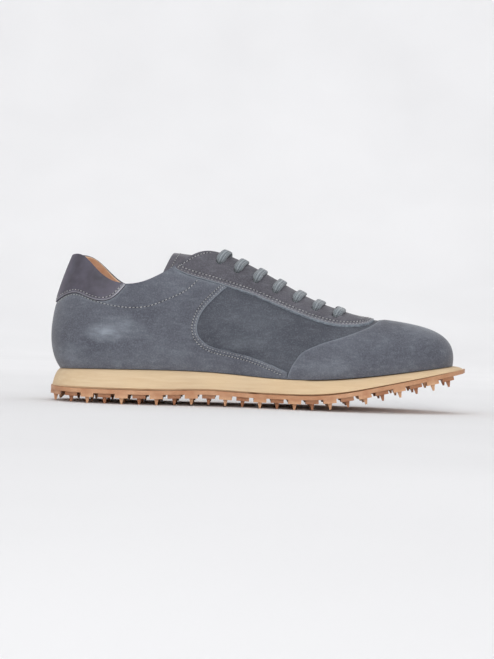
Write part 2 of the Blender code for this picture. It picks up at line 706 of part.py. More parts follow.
def throat_stations(form, first, last, count):
    """u on the medial and lateral side of even stations along the throat, between two sections."""
    medial = np.linspace(form.knot[(first, -1)], form.knot[(last, -1)], count)
    lateral = np.linspace(form.knot[(first, 1)], form.knot[(last, 1)], count)
    return np.column_stack([medial, lateral])


def build_tongue(form, materials, parent):
    """Leather sheet under the facings, from the front of the throat to its free end over the instep."""
    reach, count = 0.2, 3
    layers = []
    for extra in (0.0, TONGUE_THICKNESS):
        depth = TONGUE_DEPTH + extra
        rows = [throat_row(form, station, depth, reach, count)
                for station in throat_stations(form, "joint", "facing_top", 7)]
        front = rows[0] + np.array([TONGUE_AHEAD, 0.0, -TONGUE_FALL])
        half, x, z = (np.array(column) for column in zip(*TONGUE_REAR_EDGE))
        side_share = np.linspace(-1.0, 1.0, len(front))
        y = side_share * half[-1]
        rear_z = np.interp(abs(y), half, z) - extra
        rear = np.column_stack([np.interp(abs(y), half, x), y + THROAT_Y, rear_z])
        along = rows[-1] - rows[-2]
        along /= np.linalg.norm(along, axis=1)[:, None]
        pull = along * np.linalg.norm(rear - rows[6], axis=1)[:, None]
        for share in (0.3, 0.65, 1.0):
            ease = share * (1 - share) ** 2
            blend = share * share * (3 - 2 * share)
            rows.append(rows[6] * (1 - blend) + rear * blend + pull * ease)
        layers.append(np.array([front] + rows))
    return wall_between("tongue", layers[0], layers[1], materials["nubuck"], parent)


class Lacing:
    """Where the lace runs: across each pair of eyelets, over the facings and under them."""

    BRIDGE = (0.2, 0.5, 0.8)

    def __init__(self, form):
        self.form = form
        self.eyelets = {side: [form.locate(x, z, side) for x, z in EYELETS] for side in (-1, 1)}
        self.edges = {side: [self.edge_u(x + LACE_LEAN, side) for x, _ in EYELETS] for side in (-1, 1)}

    def edge_u(self, x, side):
        """u of the facing's edge at this x."""
        names = ("facing_rear", "toe")
        u = np.linspace(*(self.form.knot[(name, side)] for name in names), 200)
        seen = self.form.surface(u, np.ones_like(u))[:, 0]
        return float(np.interp(x, seen, u))

    def hole(self, pair, side, depth):
        """A point in the middle of an eyelet, at this depth of the wall."""
        u, v = self.eyelets[side][pair]
        return self.form.point(u, v, depth)[0]

    def facing(self, pair, side, depth, share):
        """A point over or under the facing, from the eyelet at 0 to the edge at 1."""
        u, v = self.eyelets[side][pair]
        return self.form.point(u + (self.edges[side][pair] - u) * share, v + (1.0 - v) * share, depth)[0]

    def edge(self, pair, side, depth):
        """A point over or under the facing's edge."""
        return self.facing(pair, side, depth, 1.0)

    def crossing(self, pair, depth, rise):
        """Points from the medial to the lateral eyelet of one pair, with a rise over the throat."""
        near, far = self.edge(pair, -1, depth), self.edge(pair, 1, depth)
        lift = np.array([0.0, 0.0, rise * np.linalg.norm(far - near)])
        bridge = [near + (far - near) * share + lift * 4 * share * (1 - share) for share in self.BRIDGE]
        middle = [self.facing(pair, side, depth, 0.5) for side in (-1, 1)]
        return np.array([self.hole(pair, -1, depth), middle[0], near, *bridge, far, middle[1],
                         self.hole(pair, 1, depth)])

    def along(self, pair):
        """Direction of the throat at one pair, towards the heel."""
        after, before = min(pair + 1, len(EYELETS) - 1), max(pair - 1, 0)
        ahead = self.edge(after, -1, 0.0) - self.edge(before, -1, 0.0)
        ahead[1] = 0.0
        return ahead / np.linalg.norm(ahead)


def strap(path, across, widths):
    """Points and faces of a flat strap along a path, its width turned towards the given directions."""
    path, across = np.asarray(path), np.asarray(across)
    heading = np.gradient(path, axis=0)
    heading /= np.linalg.norm(heading, axis=1)[:, None]
    wide = across - heading * (across * heading).sum(axis=1)[:, None]
    wide *= (np.asarray(widths) / 2 / np.linalg.norm(wide, axis=1))[:, None]
    thick = np.cross(heading, wide)
    thick *= (LACE_THICKNESS / 2 / np.linalg.norm(thick, axis=1))[:, None]
    corners = (wide + thick, thick - wide, -wide - thick, wide - thick)
    rings = np.stack([path + corner for corner in corners], axis=1)
    count = len(path)
    faces = [(3, 2, 1, 0), tuple(range((count - 1) * 4, count * 4))]
    for r in range(count - 1):
        for i in range(4):
            j = (i + 1) % 4
            faces.append((r * 4 + i, r * 4 + j, r * 4 + 4 + j, r * 4 + 4 + i))
    return rings.reshape(-1, 3), faces


def build_laces(lacing, materials, parent):
    """One flat lace: a bar over each pair, down an eyelet and across underneath to the next pair."""
    neck, full = LACE_NECK, LACE_WIDTH
    over_widths = [neck, full, full, full, full, full, full, full, neck]
    under_widths = [neck, neck, LACE_UNDER_WIDTH, full, full, full, LACE_UNDER_WIDTH, neck, neck]
    path = [lacing.hole(0, -1, LACE_UNDER), lacing.hole(0, -1, LACE_IN_EYELET)]
    across = [lacing.along(0)] * 2
    widths = [neck, neck]
    last = len(EYELETS) - 1
    for pair in range(last):
        path += list(lacing.crossing(pair, LACE_OVER, BAR_LIFT))
        path.append(lacing.hole(pair, 1, LACE_IN_EYELET))
        here = lacing.crossing(pair, LACE_UNDER, GAP_LIFT)[::-1]
        ahead = lacing.crossing(pair + 1, LACE_UNDER, GAP_LIFT)[::-1]
        share = np.linspace(0.0, 1.0, len(here))[:, None]
        path += list(here + (ahead - here) * share)
        path.append(lacing.hole(pair + 1, -1, LACE_IN_EYELET))
        across += [lacing.along(pair)] * 19 + [lacing.along(pair + 1)]
        widths += over_widths + [neck] + under_widths + [neck]
    stub, stub_across, stub_widths = lace_stub(lacing, last, -1)
    verts, faces = strap(path + stub, across + stub_across, widths + stub_widths)
    new_object("laces", verts, faces, materials["lace_cotton"], parent)
    stub, stub_across, stub_widths = lace_stub(lacing, last, 1)
    start = [lacing.hole(last, 1, LACE_UNDER), lacing.hole(last, 1, LACE_IN_EYELET)]
    start_across = [lacing.along(last)] * 2
    verts, faces = strap(start + stub, start_across + stub_across, [neck, neck] + stub_widths)
    return new_object("lace_end", verts, faces, materials["lace_cotton"], parent)


def lace_stub(lacing, pair, side):
    """The short end from a top eyelet, arched over the facing and tucked down behind its edge."""
    arch = LACE_OVER - STUB_RISE
    edge = lacing.edge(pair, side, arch)
    inward = lacing.edge(pair, -side, arch) - edge
    inward /= np.linalg.norm(inward)
    bend, tip = (edge + inward * past - np.array([0.0, 0.0, below]) for past, below in (STUB_BEND, STUB_TIP))
    path = [lacing.hole(pair, side, LACE_OVER), lacing.facing(pair, side, arch, 0.5), edge, bend, tip]
    return path, [lacing.along(pair)] * 5, [LACE_NECK] + [LACE_WIDTH] * 4


def eyelet_cutter(lacing, sides, materials, parent):
    """Pins through every eyelet."""
    verts, faces = [], []
    ring = np.arange(sides)
    turn = 2 * np.pi * ring / sides
    for side in (-1, 1):
        for pair in range(len(EYELETS)):
            top, foot = lacing.hole(pair, side, -4.0), lacing.hole(pair, side, LINING_DEPTH + 2.0)
            axis = (top - foot) / np.linalg.norm(top - foot)
            right = np.cross(axis, (1.0, 0.0, 0.0))
            right /= np.linalg.norm(right)
            ahead = np.cross(axis, right)
            circle = EYELET_RADIUS * (np.cos(turn)[:, None] * right + np.sin(turn)[:, None] * ahead)
            base = len(verts)
            verts += list(top + circle) + list(foot + circle)
            faces += [tuple(base + ring), tuple(base + sides + ring[::-1])]
            for i in ring:
                j = (i + 1) % sides
                faces.append((base + i, base + sides + i, base + sides + j, base + j))
    return new_object("eyelet_pins", verts, faces, materials["nubuck"], parent)


def place_group():
    """The empty that carries every piece."""
    group = bpy.data.objects.new("sneaker", None)
    bpy.context.scene.collection.objects.link(group)
    return group


def centre_on_origin(group):
    """Puts the middle of the shoe's box over the origin, with its lowest point on the floor."""
    bpy.context.view_layer.update()
    points = [np.array(v.co) for child in group.children for v in child.data.vertices]
    low, high = np.min(points, axis=0), np.max(points, axis=0)
    group.location = (-(low[0] + high[0]) / 2, -(low[1] + high[1]) / 2, -low[2])


def main():
    clear_scene()
    group = place_group()
    materials = {name: make_material(name) for name in MATERIALS}
    form = UpperForm()
    tab_edge = seam_height(form, HEEL_TAB_EDGE)
    eyestay_edge = seam_height(form, EYESTAY_EDGE, EYESTAY_NOSE_X)
    build_outsole(materials, group)
    build_midsole(form, materials, group)
    build_insole(form, materials, group)
    shell = build_shell(form, materials, group)
    build_quarter(form, tab_edge, eyestay_edge, materials, group)
    build_toe_panel(form, materials, group)
    eyestay = build_eyestay(form, eyestay_edge, materials, group)
    build_heel_tab(form, tab_edge, materials, group)
    build_tongue(form, materials, group)
    lacing = Lacing(form)
    for pierced, sides in ((shell, LINING_HOLE_SIDES), (eyestay, EYELET_SIDES)):
        boolean(pierced, eyelet_cutter(lacing, sides, materials, group), "DIFFERENCE")
    build_laces(lacing, materials, group)
    centre_on_origin(group)


main()
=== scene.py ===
"""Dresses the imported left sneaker: leather panels over its solids, seams, lace, sole, and a studio.

Sizes are millimetres from the back of the heel: x to the toe, y to the lateral side, z up from the
floor. They turn into metres round the row's origin when a mesh is made.
"""

from __future__ import annotations

import json
import logging
import math
from collections.abc import Callable, Sequence
from dataclasses import dataclass, field, replace
from enum import Enum, IntEnum

import bpy
import numpy as np
from mathutils import Matrix, Vector
from mathutils.bvhtree import BVHTree
from mathutils.kdtree import KDTree

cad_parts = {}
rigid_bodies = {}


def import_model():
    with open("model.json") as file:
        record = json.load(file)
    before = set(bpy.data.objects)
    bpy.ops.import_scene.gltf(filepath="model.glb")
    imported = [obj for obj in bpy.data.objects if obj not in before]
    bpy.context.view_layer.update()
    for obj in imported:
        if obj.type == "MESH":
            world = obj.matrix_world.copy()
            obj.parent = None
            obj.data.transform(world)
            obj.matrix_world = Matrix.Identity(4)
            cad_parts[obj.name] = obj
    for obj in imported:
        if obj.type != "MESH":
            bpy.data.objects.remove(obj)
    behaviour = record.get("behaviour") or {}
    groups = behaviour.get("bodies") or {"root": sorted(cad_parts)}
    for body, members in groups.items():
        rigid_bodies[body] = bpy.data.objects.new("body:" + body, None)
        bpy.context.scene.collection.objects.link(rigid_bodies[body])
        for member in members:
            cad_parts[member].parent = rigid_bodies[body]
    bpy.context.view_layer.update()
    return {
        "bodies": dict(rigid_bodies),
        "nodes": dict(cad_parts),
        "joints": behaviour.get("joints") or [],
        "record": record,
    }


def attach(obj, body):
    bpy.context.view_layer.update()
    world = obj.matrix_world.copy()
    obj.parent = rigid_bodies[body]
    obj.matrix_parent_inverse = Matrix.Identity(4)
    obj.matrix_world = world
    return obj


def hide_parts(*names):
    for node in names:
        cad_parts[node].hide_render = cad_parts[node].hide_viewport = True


LOG = logging.getLogger("sneaker")
Array = np.ndarray
Piece = bpy.types.Object
Socket = bpy.types.NodeSocket
Triple = tuple[float, float, float]
Places = Sequence[tuple[float, float]]
BODY = "root"
MM = 0.001
ROW_ORIGIN = np.array([148.9059, 4.3382, -0.0005])   # the row's origin, from the back of the heel
SHEET_MERGE = 1e-6    # metres between points of a sheet that are one
NODE_MERGE = 1e-5     # and between those of a solid


class Side(IntEnum):
    """Side of the shoe, by the sign of its y."""

    MEDIAL = -1
    LATERAL = 1


def to_row(points: Array) -> Array:
    """Turns millimetres from the heel into metres in the row's frame.

    Args:
        points: Points of any shape whose last axis is x, y, z.

    Returns:
        The same points in metres.
    """
    return (np.asarray(points, float) - ROW_ORIGIN) * MM


def linear(code: str) -> tuple[float, float, float, float]:
    """Turns an sRGB colour into linear light.

    Args:
        code: Colour as "#rrggbb".

    Returns:
        Red, green, blue and alpha.
    """
    parts = [int(code[i:i + 2], 16) / 255 for i in (1, 3, 5)]
    red, green, blue = (c / 12.92 if c <= 0.04045 else ((c + 0.055) / 1.055) ** 2.4 for c in parts)
    return red, green, blue, 1.0


def per_mm(size: float) -> float:
    """Texture scale, in repeats to the metre, of a feature of this many millimetres."""
    return 1.0 / (size * MM)


def unit(vectors: Array) -> Array:
    """Vectors along the last axis, brought to a length of 1."""
    return vectors / np.linalg.norm(vectors, axis=-1, keepdims=True)


def falloff(distance: Array, width: float | Array) -> Array:
    """1 at no distance, fading out over a width."""
    return np.exp(-(distance / width) ** 2)


def squared_off(wave: Array, power: float) -> Array:
    """Numbers from -1 to 1 pushed outwards by a power below 1."""
    return np.sign(wave) * np.abs(wave) ** power


def smooth_through(knots: Sequence[float], values: Array,
                   period: float | None = None) -> Callable[[Array], Array]:
    """A cubic curve through rows of values.

    Args:
        knots: Place of each row along the curve.
        values: Rows of numbers to pass through.
        period: Length of a closed curve, or None for a natural open one.

    Returns:
        A function that reads the curve at any places.
    """
    knots = np.asarray(knots, float)
    values = np.asarray(values, float).reshape(len(knots), -1)
    if period is not None:
        knots = np.append(knots, knots[0] + period)
        values = np.vstack([values, values[:1]])
    steps = np.diff(knots)
    slopes = np.diff(values, axis=0) / steps[:, None]
    count = len(knots)
    matrix = np.eye(count)
    right = np.zeros_like(values)
    for i in range(1, count - 1):
        matrix[i, i - 1:i + 2] = steps[i - 1] / 6, (steps[i - 1] + steps[i]) / 3, steps[i] / 6
        right[i] = slopes[i] - slopes[i - 1]
    if period is not None:
        matrix[0, [0, 1, -2]] = (steps[-1] + steps[0]) / 3, steps[0] / 6, steps[-1] / 6
        right[0] = slopes[0] - slopes[-1]
        matrix[-1, 0] = -1.0
    bends = np.linalg.solve(matrix, right)

    def read(at: Array) -> Array:
        """Rows of the curve at these places."""
        at = np.atleast_1d(np.asarray(at, float))
        if period is not None:
            at = knots[0] + np.mod(at - knots[0], period)
        i = np.clip(np.searchsorted(knots, at, side="right") - 1, 0, count - 2)
        h = steps[i][:, None]
        a = (knots[i + 1] - at)[:, None] / h
        b = 1.0 - a
        bent = (a ** 3 - a) * bends[i] + (b ** 3 - b) * bends[i + 1]
        return a * values[i] + b * values[i + 1] + bent * h ** 2 / 6

    return read


def run_of(points: Array) -> Array:
    """Length along a line of points, from 0 at its first."""
    return np.append(0.0, np.cumsum(np.linalg.norm(np.diff(points, axis=0), axis=1)))


def evenly(points: Array, count: int) -> Array:
    """Points spaced evenly on a smooth curve through the given ones.

    Args:
        points: Points to pass through.
        count: How many to give back.

    Returns:
        The spaced points.
    """
    points = np.asarray(points, float)
    run = run_of(points)
    return smooth_through(run, points)(np.linspace(0.0, run[-1], count))


@dataclass(frozen=True)
class Section:
    """One section of the upper, from its foot on the midsole to its top; handles bend it outwards."""

    foot_x: float
    foot_medial: float
    foot_lateral: float
    top_x: float
    top_half: float
    top_z: float
    low_out: float
    low_up: float
    high_out: float
    high_drop: float

    def foot(self, side: Side) -> tuple[float, float]:
        """x and y of the section's foot on one side."""
        return self.foot_x, -self.foot_medial if side is Side.MEDIAL else self.foot_lateral


SECTIONS = {
    "heel_back": Section(7.0, 0.0, 0.0, 13.5, 0.0, 103.5, 14.0, 18.0, 12.0, 30.0),
    "heel_side": Section(18.0, 26.5, 26.0, 22.5, 12.5, 103.2, 10.0, 18.0, 13.0, 28.0),
    "heel_quarter": Section(45.0, 36.5, 36.5, 42.0, 26.5, 87.0, 7.0, 18.0, 10.0, 22.0),
    "collar_dip": Section(64.0, 35.0, 37.5, 60.0, 30.5, 84.8, 6.0, 18.0, 7.0, 20.0),
    "waist": Section(85.0, 31.0, 38.5, 78.0, 31.0, 92.0, 6.0, 18.0, 5.0, 22.0),
    "arch": Section(106.0, 28.5, 40.0, 92.0, 28.5, 101.0, 7.0, 20.0, 7.0, 20.0),
    "facing_rear": Section(124.0, 28.0, 42.5, 107.0, 17.5, 109.0, 9.0, 24.0, 15.0, 16.0),
    "facing_top": Section(142.0, 30.5, 46.0, 125.0, 8.0, 106.6, 10.0, 26.0, 22.0, 13.0),
    "instep": Section(166.0, 35.5, 50.5, 152.0, 7.5, 94.6, 9.0, 26.0, 24.0, 12.0),
    "ball": Section(196.0, 38.0, 51.5, 183.0, 9.0, 78.6, 7.0, 24.0, 26.0, 8.0),
    "joint": Section(230.0, 37.0, 47.0, 206.0, 9.0, 70.4, 6.0, 22.0, 26.0, 5.0),
    "toe": Section(262.0, 27.5, 38.0, 213.0, 7.2, 68.0, 5.0, 23.0, 34.0, 4.0),
    "toe_corner": Section(281.5, 15.5, 23.5, 216.2, 4.0, 67.4, 5.0, 25.0, 44.0, 3.0),
    "toe_tip": Section(289.0, 0.0, 0.0, 217.0, 0.0, 67.2, 4.0, 26.0, 50.0, 3.0),
}

# The lateral collar comes down from the heel ahead of the medial one: its own top_x and top_half there
LATERAL_TOPS = {"heel_side": (26.5, 17.8), "heel_quarter": (46.0, 28.6)}

# Height of the midsole's upper face along the shoe, as x and height
MIDSOLE_TOP = ((0.0, 22.4), (30.0, 23.6), (60.0, 24.1), (95.0, 24.3), (125.0, 23.4), (160.0, 21.2),
               (190.0, 21.3), (214.0, 23.2), (250.0, 28.0), (290.0, 33.8), (300.0, 35.2))

# Seams as seen from the side, x and z along each edge
HEEL_TAB_EDGE = ((3.6, 70.7), (12.8, 76.0), (20.0, 76.6), (30.3, 72.8), (37.9, 71.8), (45.0, 74.0),
                 (53.5, 83.0))
EYESTAY_EDGE = ((88.4, 96.0), (105.7, 89.9), (124.3, 85.2), (139.7, 81.0), (160.1, 73.3), (180.5, 65.7),
                (199.3, 60.8), (212.0, 60.2))
EYESTAY_NOSE_X = 229.0
QUARTER_EDGE = ((125.1, 85.0), (116.6, 76.6), (109.3, 68.0), (105.4, 59.0), (105.8, 50.5), (111.0, 44.4),
                (129.2, 39.0), (150.0, 33.6), (168.9, 25.9))
TOE_SEAM = ((174.2, 34.0), (177.2, 38.6), (183.2, 43.0), (190.8, 46.6), (202.0, 50.6), (214.0, 55.0),
            (226.0, 60.3))
TOE_SEAM_NOSE_X = 236.0
TOE_SEAM_RISE = ((169.4, 21.6), (169.9, 24.0), (170.9, 27.2), (172.4, 30.9), (174.2, 34.0))
COLLAR_ROW = ((4.0, 69.4), (8.1, 72.8), (12.8, 74.9), (17.4, 75.6), (22.0, 74.9), (26.8, 73.3),
              (38.7, 69.9), (55.6, 67.6), (72.2, 69.5), (85.3, 75.0), (98.4, 82.5), (104.6, 89.2))

# Eyelets from the toe to the instep, as x and z from the side
EYELETS = ((201.7, 66.4), (187.4, 70.8), (173.4, 76.2), (159.0, 82.4), (145.0, 89.4), (131.4, 96.0),
           (118.5, 102.0))
TOP_PAIR = len(EYELETS) - 1


@dataclass
class Last:
    """The outside of the lasted upper, read at u along its foot, v from foot to top, and a depth inwards.

    The nudges are the steps for slopes. A place seen from the side is found on a grid of u and v, then
    in a few passes with a largest stride in each.
    """

    seat_gap: float = 0.3
    throat_y: float = 1.0
    handle_out: float = 10.0
    foot_nudge: float = 0.05
    u_nudge: float = 0.02
    v_nudge: float = 0.002
    search: tuple[int, int] = (120, 40)
    passes: int = 8
    stride: tuple[float, float] = (4.0, 0.08)
    nose_from: float = 0.3
    nose_steps: int = 400
    length: float = field(init=False)
    toe_u: float = field(init=False)

    def __post_init__(self) -> None:
        """Fits closed curves through the corners of every section, and reads the shared seams."""
        names = list(SECTIONS)
        ring = [(name, Side.MEDIAL) for name in names]
        ring += [(name, Side.LATERAL) for name in reversed(names[1:-1])]
        rows = [self.section(name, side) for name, side in ring]
        feet = np.array([row.foot(side) for row, (_, side) in zip(rows, ring)])
        knots = run_of(np.vstack([feet, feet[:1]]))
        self.length = knots[-1]
        self.midsole_height = smooth_through(*zip(*MIDSOLE_TOP))
        self.outline = smooth_through(knots[:-1], feet, self.length)
        normals = self.outward(knots[:-1])
        corners = [self.corners_of(row, side, foot, normal)
                   for row, (_, side), foot, normal in zip(rows, ring, feet, normals)]
        self.controls = smooth_through(knots[:-1], np.array(corners).reshape(len(rows), -1), self.length)
        self.knot = dict(zip(ring, knots))
        self.toe_u = self.knot["toe_tip", Side.MEDIAL]
        self.tab = self.seam(HEEL_TAB_EDGE)
        self.stay = self.seam(EYESTAY_EDGE, EYESTAY_NOSE_X)

    @staticmethod
    def section(name: str, side: Side) -> Section:
        """Sizes of a section on one side of the shoe."""
        row = SECTIONS[name]
        if side is Side.LATERAL and name in LATERAL_TOPS:
            top_x, top_half = LATERAL_TOPS[name]
            row = replace(row, top_x=top_x, top_half=top_half)
        return row

    def outward(self, at: Array) -> Array:
        """Unit normals of the foot outline at these places."""
        along = self.outline(at + self.foot_nudge) - self.outline(at - self.foot_nudge)
        return unit(np.stack([along[:, 1], -along[:, 0]], axis=1))

    def feather(self, x: Array) -> Array:
        """Height of the upper's foot, just clear of the midsole."""
        return self.midsole_height(np.atleast_1d(x)).ravel() + self.seat_gap

    def corners_of(self, row: Section, side: Side, foot: Array, normal: Array) -> tuple[Array, ...]:
        """Corners of one section's curve.

        Args:
            row: Sizes of the section.
            side: Its side of the shoe.
            foot: Its foot in plan.
            normal: Outward direction of the foot outline there.

        Returns:
            Foot, low handle, high handle and top.
        """
        start = np.array([*foot, self.feather(foot[0])[0]])
        end = np.array([row.top_x, self.throat_y + side * row.top_half, row.top_z])
        reach = unit(start[:2] - end[:2] + normal * self.handle_out)
        low = start + np.array([*(normal * row.low_out), row.low_up])
        high = end + np.array([*(reach * row.high_out), -row.high_drop])
        return start, low, high, end

    def surface(self, u: Array, v: Array) -> Array:
        """Points of the outside at u and v."""
        corners = self.controls(u).reshape(-1, 4, 3)
        v = np.asarray(v, float).reshape(-1, 1)
        w = 1.0 - v
        weights = np.stack([w ** 3, 3 * w * w * v, 3 * w * v * v, v ** 3], axis=1)
        return (weights * corners).sum(axis=1)

    def normal(self, u: Array, v: Array) -> Array:
        """Outward unit normals at u and v."""
        along = self.surface(u + self.u_nudge, v) - self.surface(u - self.u_nudge, v)
        up = self.surface(u, v + self.v_nudge) - self.surface(u, v - self.v_nudge)
        return unit(np.cross(along, up))

    def point(self, u: Array, v: Array, depth: float | Array = 0.0) -> Array:
        """Points of the wall at a depth, their feet held on the midsole.

        Args:
            u: Places along the foot outline.
            v: Heights from 0 at the foot to 1 at the top.
            depth: Millimetres inwards.

        Returns:
            An array with the shape of u and a last axis of x, y, z.
        """
        u, v = np.broadcast_arrays(np.asarray(u, float), np.asarray(v, float))
        flat_u, flat_v = u.ravel(), v.ravel()
        depth = np.broadcast_to(depth, u.shape).reshape(-1, 1)
        at = self.surface(flat_u, flat_v) - self.normal(flat_u, flat_v) * depth
        foot = flat_v <= 0.0
        if foot.any():
            at[foot, 2] = self.feather(at[foot, 0])
        return at.reshape(*u.shape, 3)

    def locate(self, x: float, z: float, side: Side) -> Array:
        """The u and v that show at x and z from the side.

        Args:
            x: Distance from the back of the heel.
            z: Height over the floor.
            side: Side of the shoe.

        Returns:
            u and v.
        """
        ends = (0.0, self.toe_u) if side is Side.MEDIAL else (self.toe_u, self.length)
        axes = np.linspace(*ends, self.search[0]), np.linspace(0.0, 1.0, self.search[1])
        us, vs = (axis.ravel() for axis in np.meshgrid(*axes))
        seen = self.surface(us, vs)[:, [0, 2]]
        best = np.argmin(((seen - (x, z)) ** 2).sum(axis=1))
        place = np.array([us[best], vs[best]])
        for _ in range(self.passes):
            miss = self.surface(*place[:, None])[0, [0, 2]] - (x, z)
            by_u = self.surface(place[:1] + self.u_nudge, place[1:])[0, [0, 2]] - (x, z) - miss
            by_v = self.surface(place[:1], place[1:] + self.v_nudge)[0, [0, 2]] - (x, z) - miss
            jacobian = np.stack([by_u / self.u_nudge, by_v / self.v_nudge], axis=1)
            step = np.linalg.lstsq(jacobian, miss, rcond=None)[0]
            place = place - np.clip(step, -np.array(self.stride), self.stride)
            place[1] = min(max(place[1], 0.0), 1.0)
        return place

    def edge(self, points: Places, side: Side) -> Array:
        """u and v along a seam that is drawn from the side."""
        return np.array([self.locate(x, z, side) for x, z in points])

    def nose(self, x: float) -> Array:
        """u and v on the middle line of the vamp at this x."""
        v = np.linspace(self.nose_from, 1.0, self.nose_steps)
        seen = self.surface(np.full_like(v, self.toe_u), v)[:, 0]
        return np.array([self.toe_u, np.interp(-x, -seen, v)])

    def seam(self, points: Places, nose_x: float | None = None) -> Edge:
        """A seam on both sides of the shoe.

        Args:
            points: x and z along it, from the side.
            nose_x: Where it crosses the middle of the vamp; None joins it round the heel.

        Returns:
            The seam as an edge.
        """
        medial, lateral = (self.edge(points, side) for side in Side)
        if nose_x is None:
            lateral[:, 0] -= self.length
            places = np.vstack([lateral, medial])
        else:
            places = np.vstack([medial, self.nose(nose_x)[None], lateral])
        places = places[np.argsort(places[:, 0])]
        return Edge(smooth_through(places[:, 0], places[:, 1]), places[0, 0], places[-1, 0])


@dataclass(frozen=True)
class Edge:
    """A seam as v over u, between its first and last u."""

    curve: Callable[[Array], Array]
    first: float
    last: float

    def v(self, u: Array) -> Array:
        """v of the seam at u, with the shape of u; past its ends it is held."""
        u = np.clip(u, self.first, self.last)
        return self.curve(u.ravel()).reshape(u.shape)

    def holds(self, u: Array) -> Array:
        """Where u lies between the seam's ends."""
        return (u >= self.first) & (u <= self.last)

    def inside(self, margin: float, count: int) -> Array:
        """Places along the seam, from a margin past its first end to one short of its last."""
        return np.linspace(self.first + margin, self.last - margin, count)


class Bench:
    """Small modelling steps on Blender objects."""

    @staticmethod
    def pick(piece: Piece) -> None:
        """Makes one object the only selected and active one."""
        bpy.ops.object.select_all(action="DESELECT")
        piece.select_set(True)
        bpy.context.view_layer.objects.active = piece

    @staticmethod
    def primitive(add: Callable[..., object], **sizes: float) -> Piece:
        """A new object from one of Blender's primitives, with nothing else selected."""
        bpy.ops.object.select_all(action="DESELECT")
        add(**sizes)
        return bpy.context.object

    @staticmethod
    def apply(piece: Piece) -> None:
        """Applies every modifier of an object in order."""
        Bench.pick(piece)
        for name in [modifier.name for modifier in piece.modifiers]:
            bpy.ops.object.modifier_apply(modifier=name)

    @staticmethod
    def edit(piece: Piece, *steps: Callable[[], object]) -> None:
        """Runs edit-mode operators on all of an object's mesh."""
        Bench.pick(piece)
        bpy.ops.object.mode_set(mode="EDIT")
        bpy.ops.mesh.select_all(action="SELECT")
        for step in steps:
            step()
        bpy.ops.object.mode_set(mode="OBJECT")

    @staticmethod
    def sheet(name: str, points: Array, closed: bool = False, tube: bool = False) -> Piece:
        """A sheet of quads through a grid of points, with a UV map in millimetres.

        Args:
            name: Name of the object.
            points: Columns by rows by x, y, z, in millimetres.
            closed: Whether the last column lies on the first.
            tube: Whether the rows run round a tube; their UV is then a share of the way round.

        Returns:
            The object, in metres in the row's frame.
        """
        columns, rows = points.shape[:2]
        made = Bench.primitive(bpy.ops.mesh.primitive_grid_add, x_subdivisions=columns - 1,
                               y_subdivisions=rows - 1, size=2.0)
        made.name = made.data.name = name
        mesh = made.data
        flat = np.empty(len(mesh.vertices) * 3)
        mesh.vertices.foreach_get("co", flat)
        flat = flat.reshape(-1, 3)
        i = np.rint((flat[:, 0] + 1) / 2 * (columns - 1)).astype(int)
        j = np.rint((flat[:, 1] + 1) / 2 * (rows - 1)).astype(int)
        mesh.vertices.foreach_set("co", to_row(points[i, j]).ravel())
        across = np.cumsum(np.linalg.norm(np.diff(points, axis=0, prepend=points[:1]), axis=2), axis=0)
        up = np.cumsum(np.linalg.norm(np.diff(points, axis=1, prepend=points[:, :1]), axis=2), axis=1)
        if tube:
            up = np.broadcast_to(np.linspace(0.0, 1.0, rows), (columns, rows))
        corner = np.empty(len(mesh.loops), int)
        mesh.loops.foreach_get("vertex_index", corner)
        uv = np.stack([across[i, j][corner], up[i, j][corner]], axis=1)
        mesh.uv_layers.active.data.foreach_set("uv", uv.ravel())
        mesh.update()
        if closed:
            Bench.edit(made, lambda: bpy.ops.mesh.remove_doubles(threshold=SHEET_MERGE))
        return made

    @staticmethod
    def attribute(piece: Piece, name: str, grid: Array) -> None:
        """Stores a number for each point of a sheet that is still in grid order."""
        store = piece.data.attributes.new(name, "FLOAT", "POINT")
        rows_first = np.asarray(grid, np.float32).T
        store.data.foreach_set("value", rows_first.ravel())

    @staticmethod
    def coat(piece: Piece, *finishes: Finish) -> None:
        """Gives a piece its materials, in slots in this order."""
        for finish in finishes:
            piece.data.materials.append(finish.material())

    @staticmethod
    def round_edges(piece: Piece, round_mm: float, angle_deg: float) -> None:
        """Rounds the edges that turn more than an angle, after the modifiers that the piece has."""
        edge = piece.modifiers.new("edge", "BEVEL")
        edge.width = round_mm * MM
        edge.segments = 2
        edge.limit_method = "ANGLE"
        edge.angle_limit = math.radians(angle_deg)
        Bench.apply(piece)

    @staticmethod
    def thicken(piece: Piece, thickness: float, round_mm: float, cut_deg: float = 55.0) -> None:
        """Gives a sheet its thickness inwards, with its rim in the third material slot.

        Args:
            piece: A sheet whose faces look outwards.
            thickness: Millimetres of leather.
            round_mm: Rounding of its cut edges.
            cut_deg: Edges that turn more than this are cut ones.
        """
        wall = piece.modifiers.new("wall", "SOLIDIFY")
        wall.thickness = thickness * MM
        wall.offset = -1.0
        wall.material_offset = 1
        wall.material_offset_rim = 2
        Bench.round_edges(piece, round_mm, cut_deg)

    @staticmethod
    def copy_node(node: Piece, name: str, flat_deg: float = 40.0, square_deg: float = 70.0) -> Piece:
        """A merged copy of a CAD node's mesh, as an object of its own.

        Args:
            node: The CAD node.
            name: Name of the copy.
            flat_deg: Largest turn between two triangles that become a quad.
            square_deg: How far that quad may be from square.

        Returns:
            The copy.
        """
        made = bpy.data.objects.new(name, node.data.copy())
        bpy.context.scene.collection.objects.link(made)
        made.data.name = name
        made.data.materials.clear()
        Bench.edit(made,
                   lambda: bpy.ops.mesh.remove_doubles(threshold=NODE_MERGE),
                   lambda: bpy.ops.mesh.customdata_custom_splitnormals_clear(),
                   lambda: bpy.ops.mesh.tris_convert_to_quads(face_threshold=math.radians(flat_deg),
                                                              shape_threshold=math.radians(square_deg)))
        return made

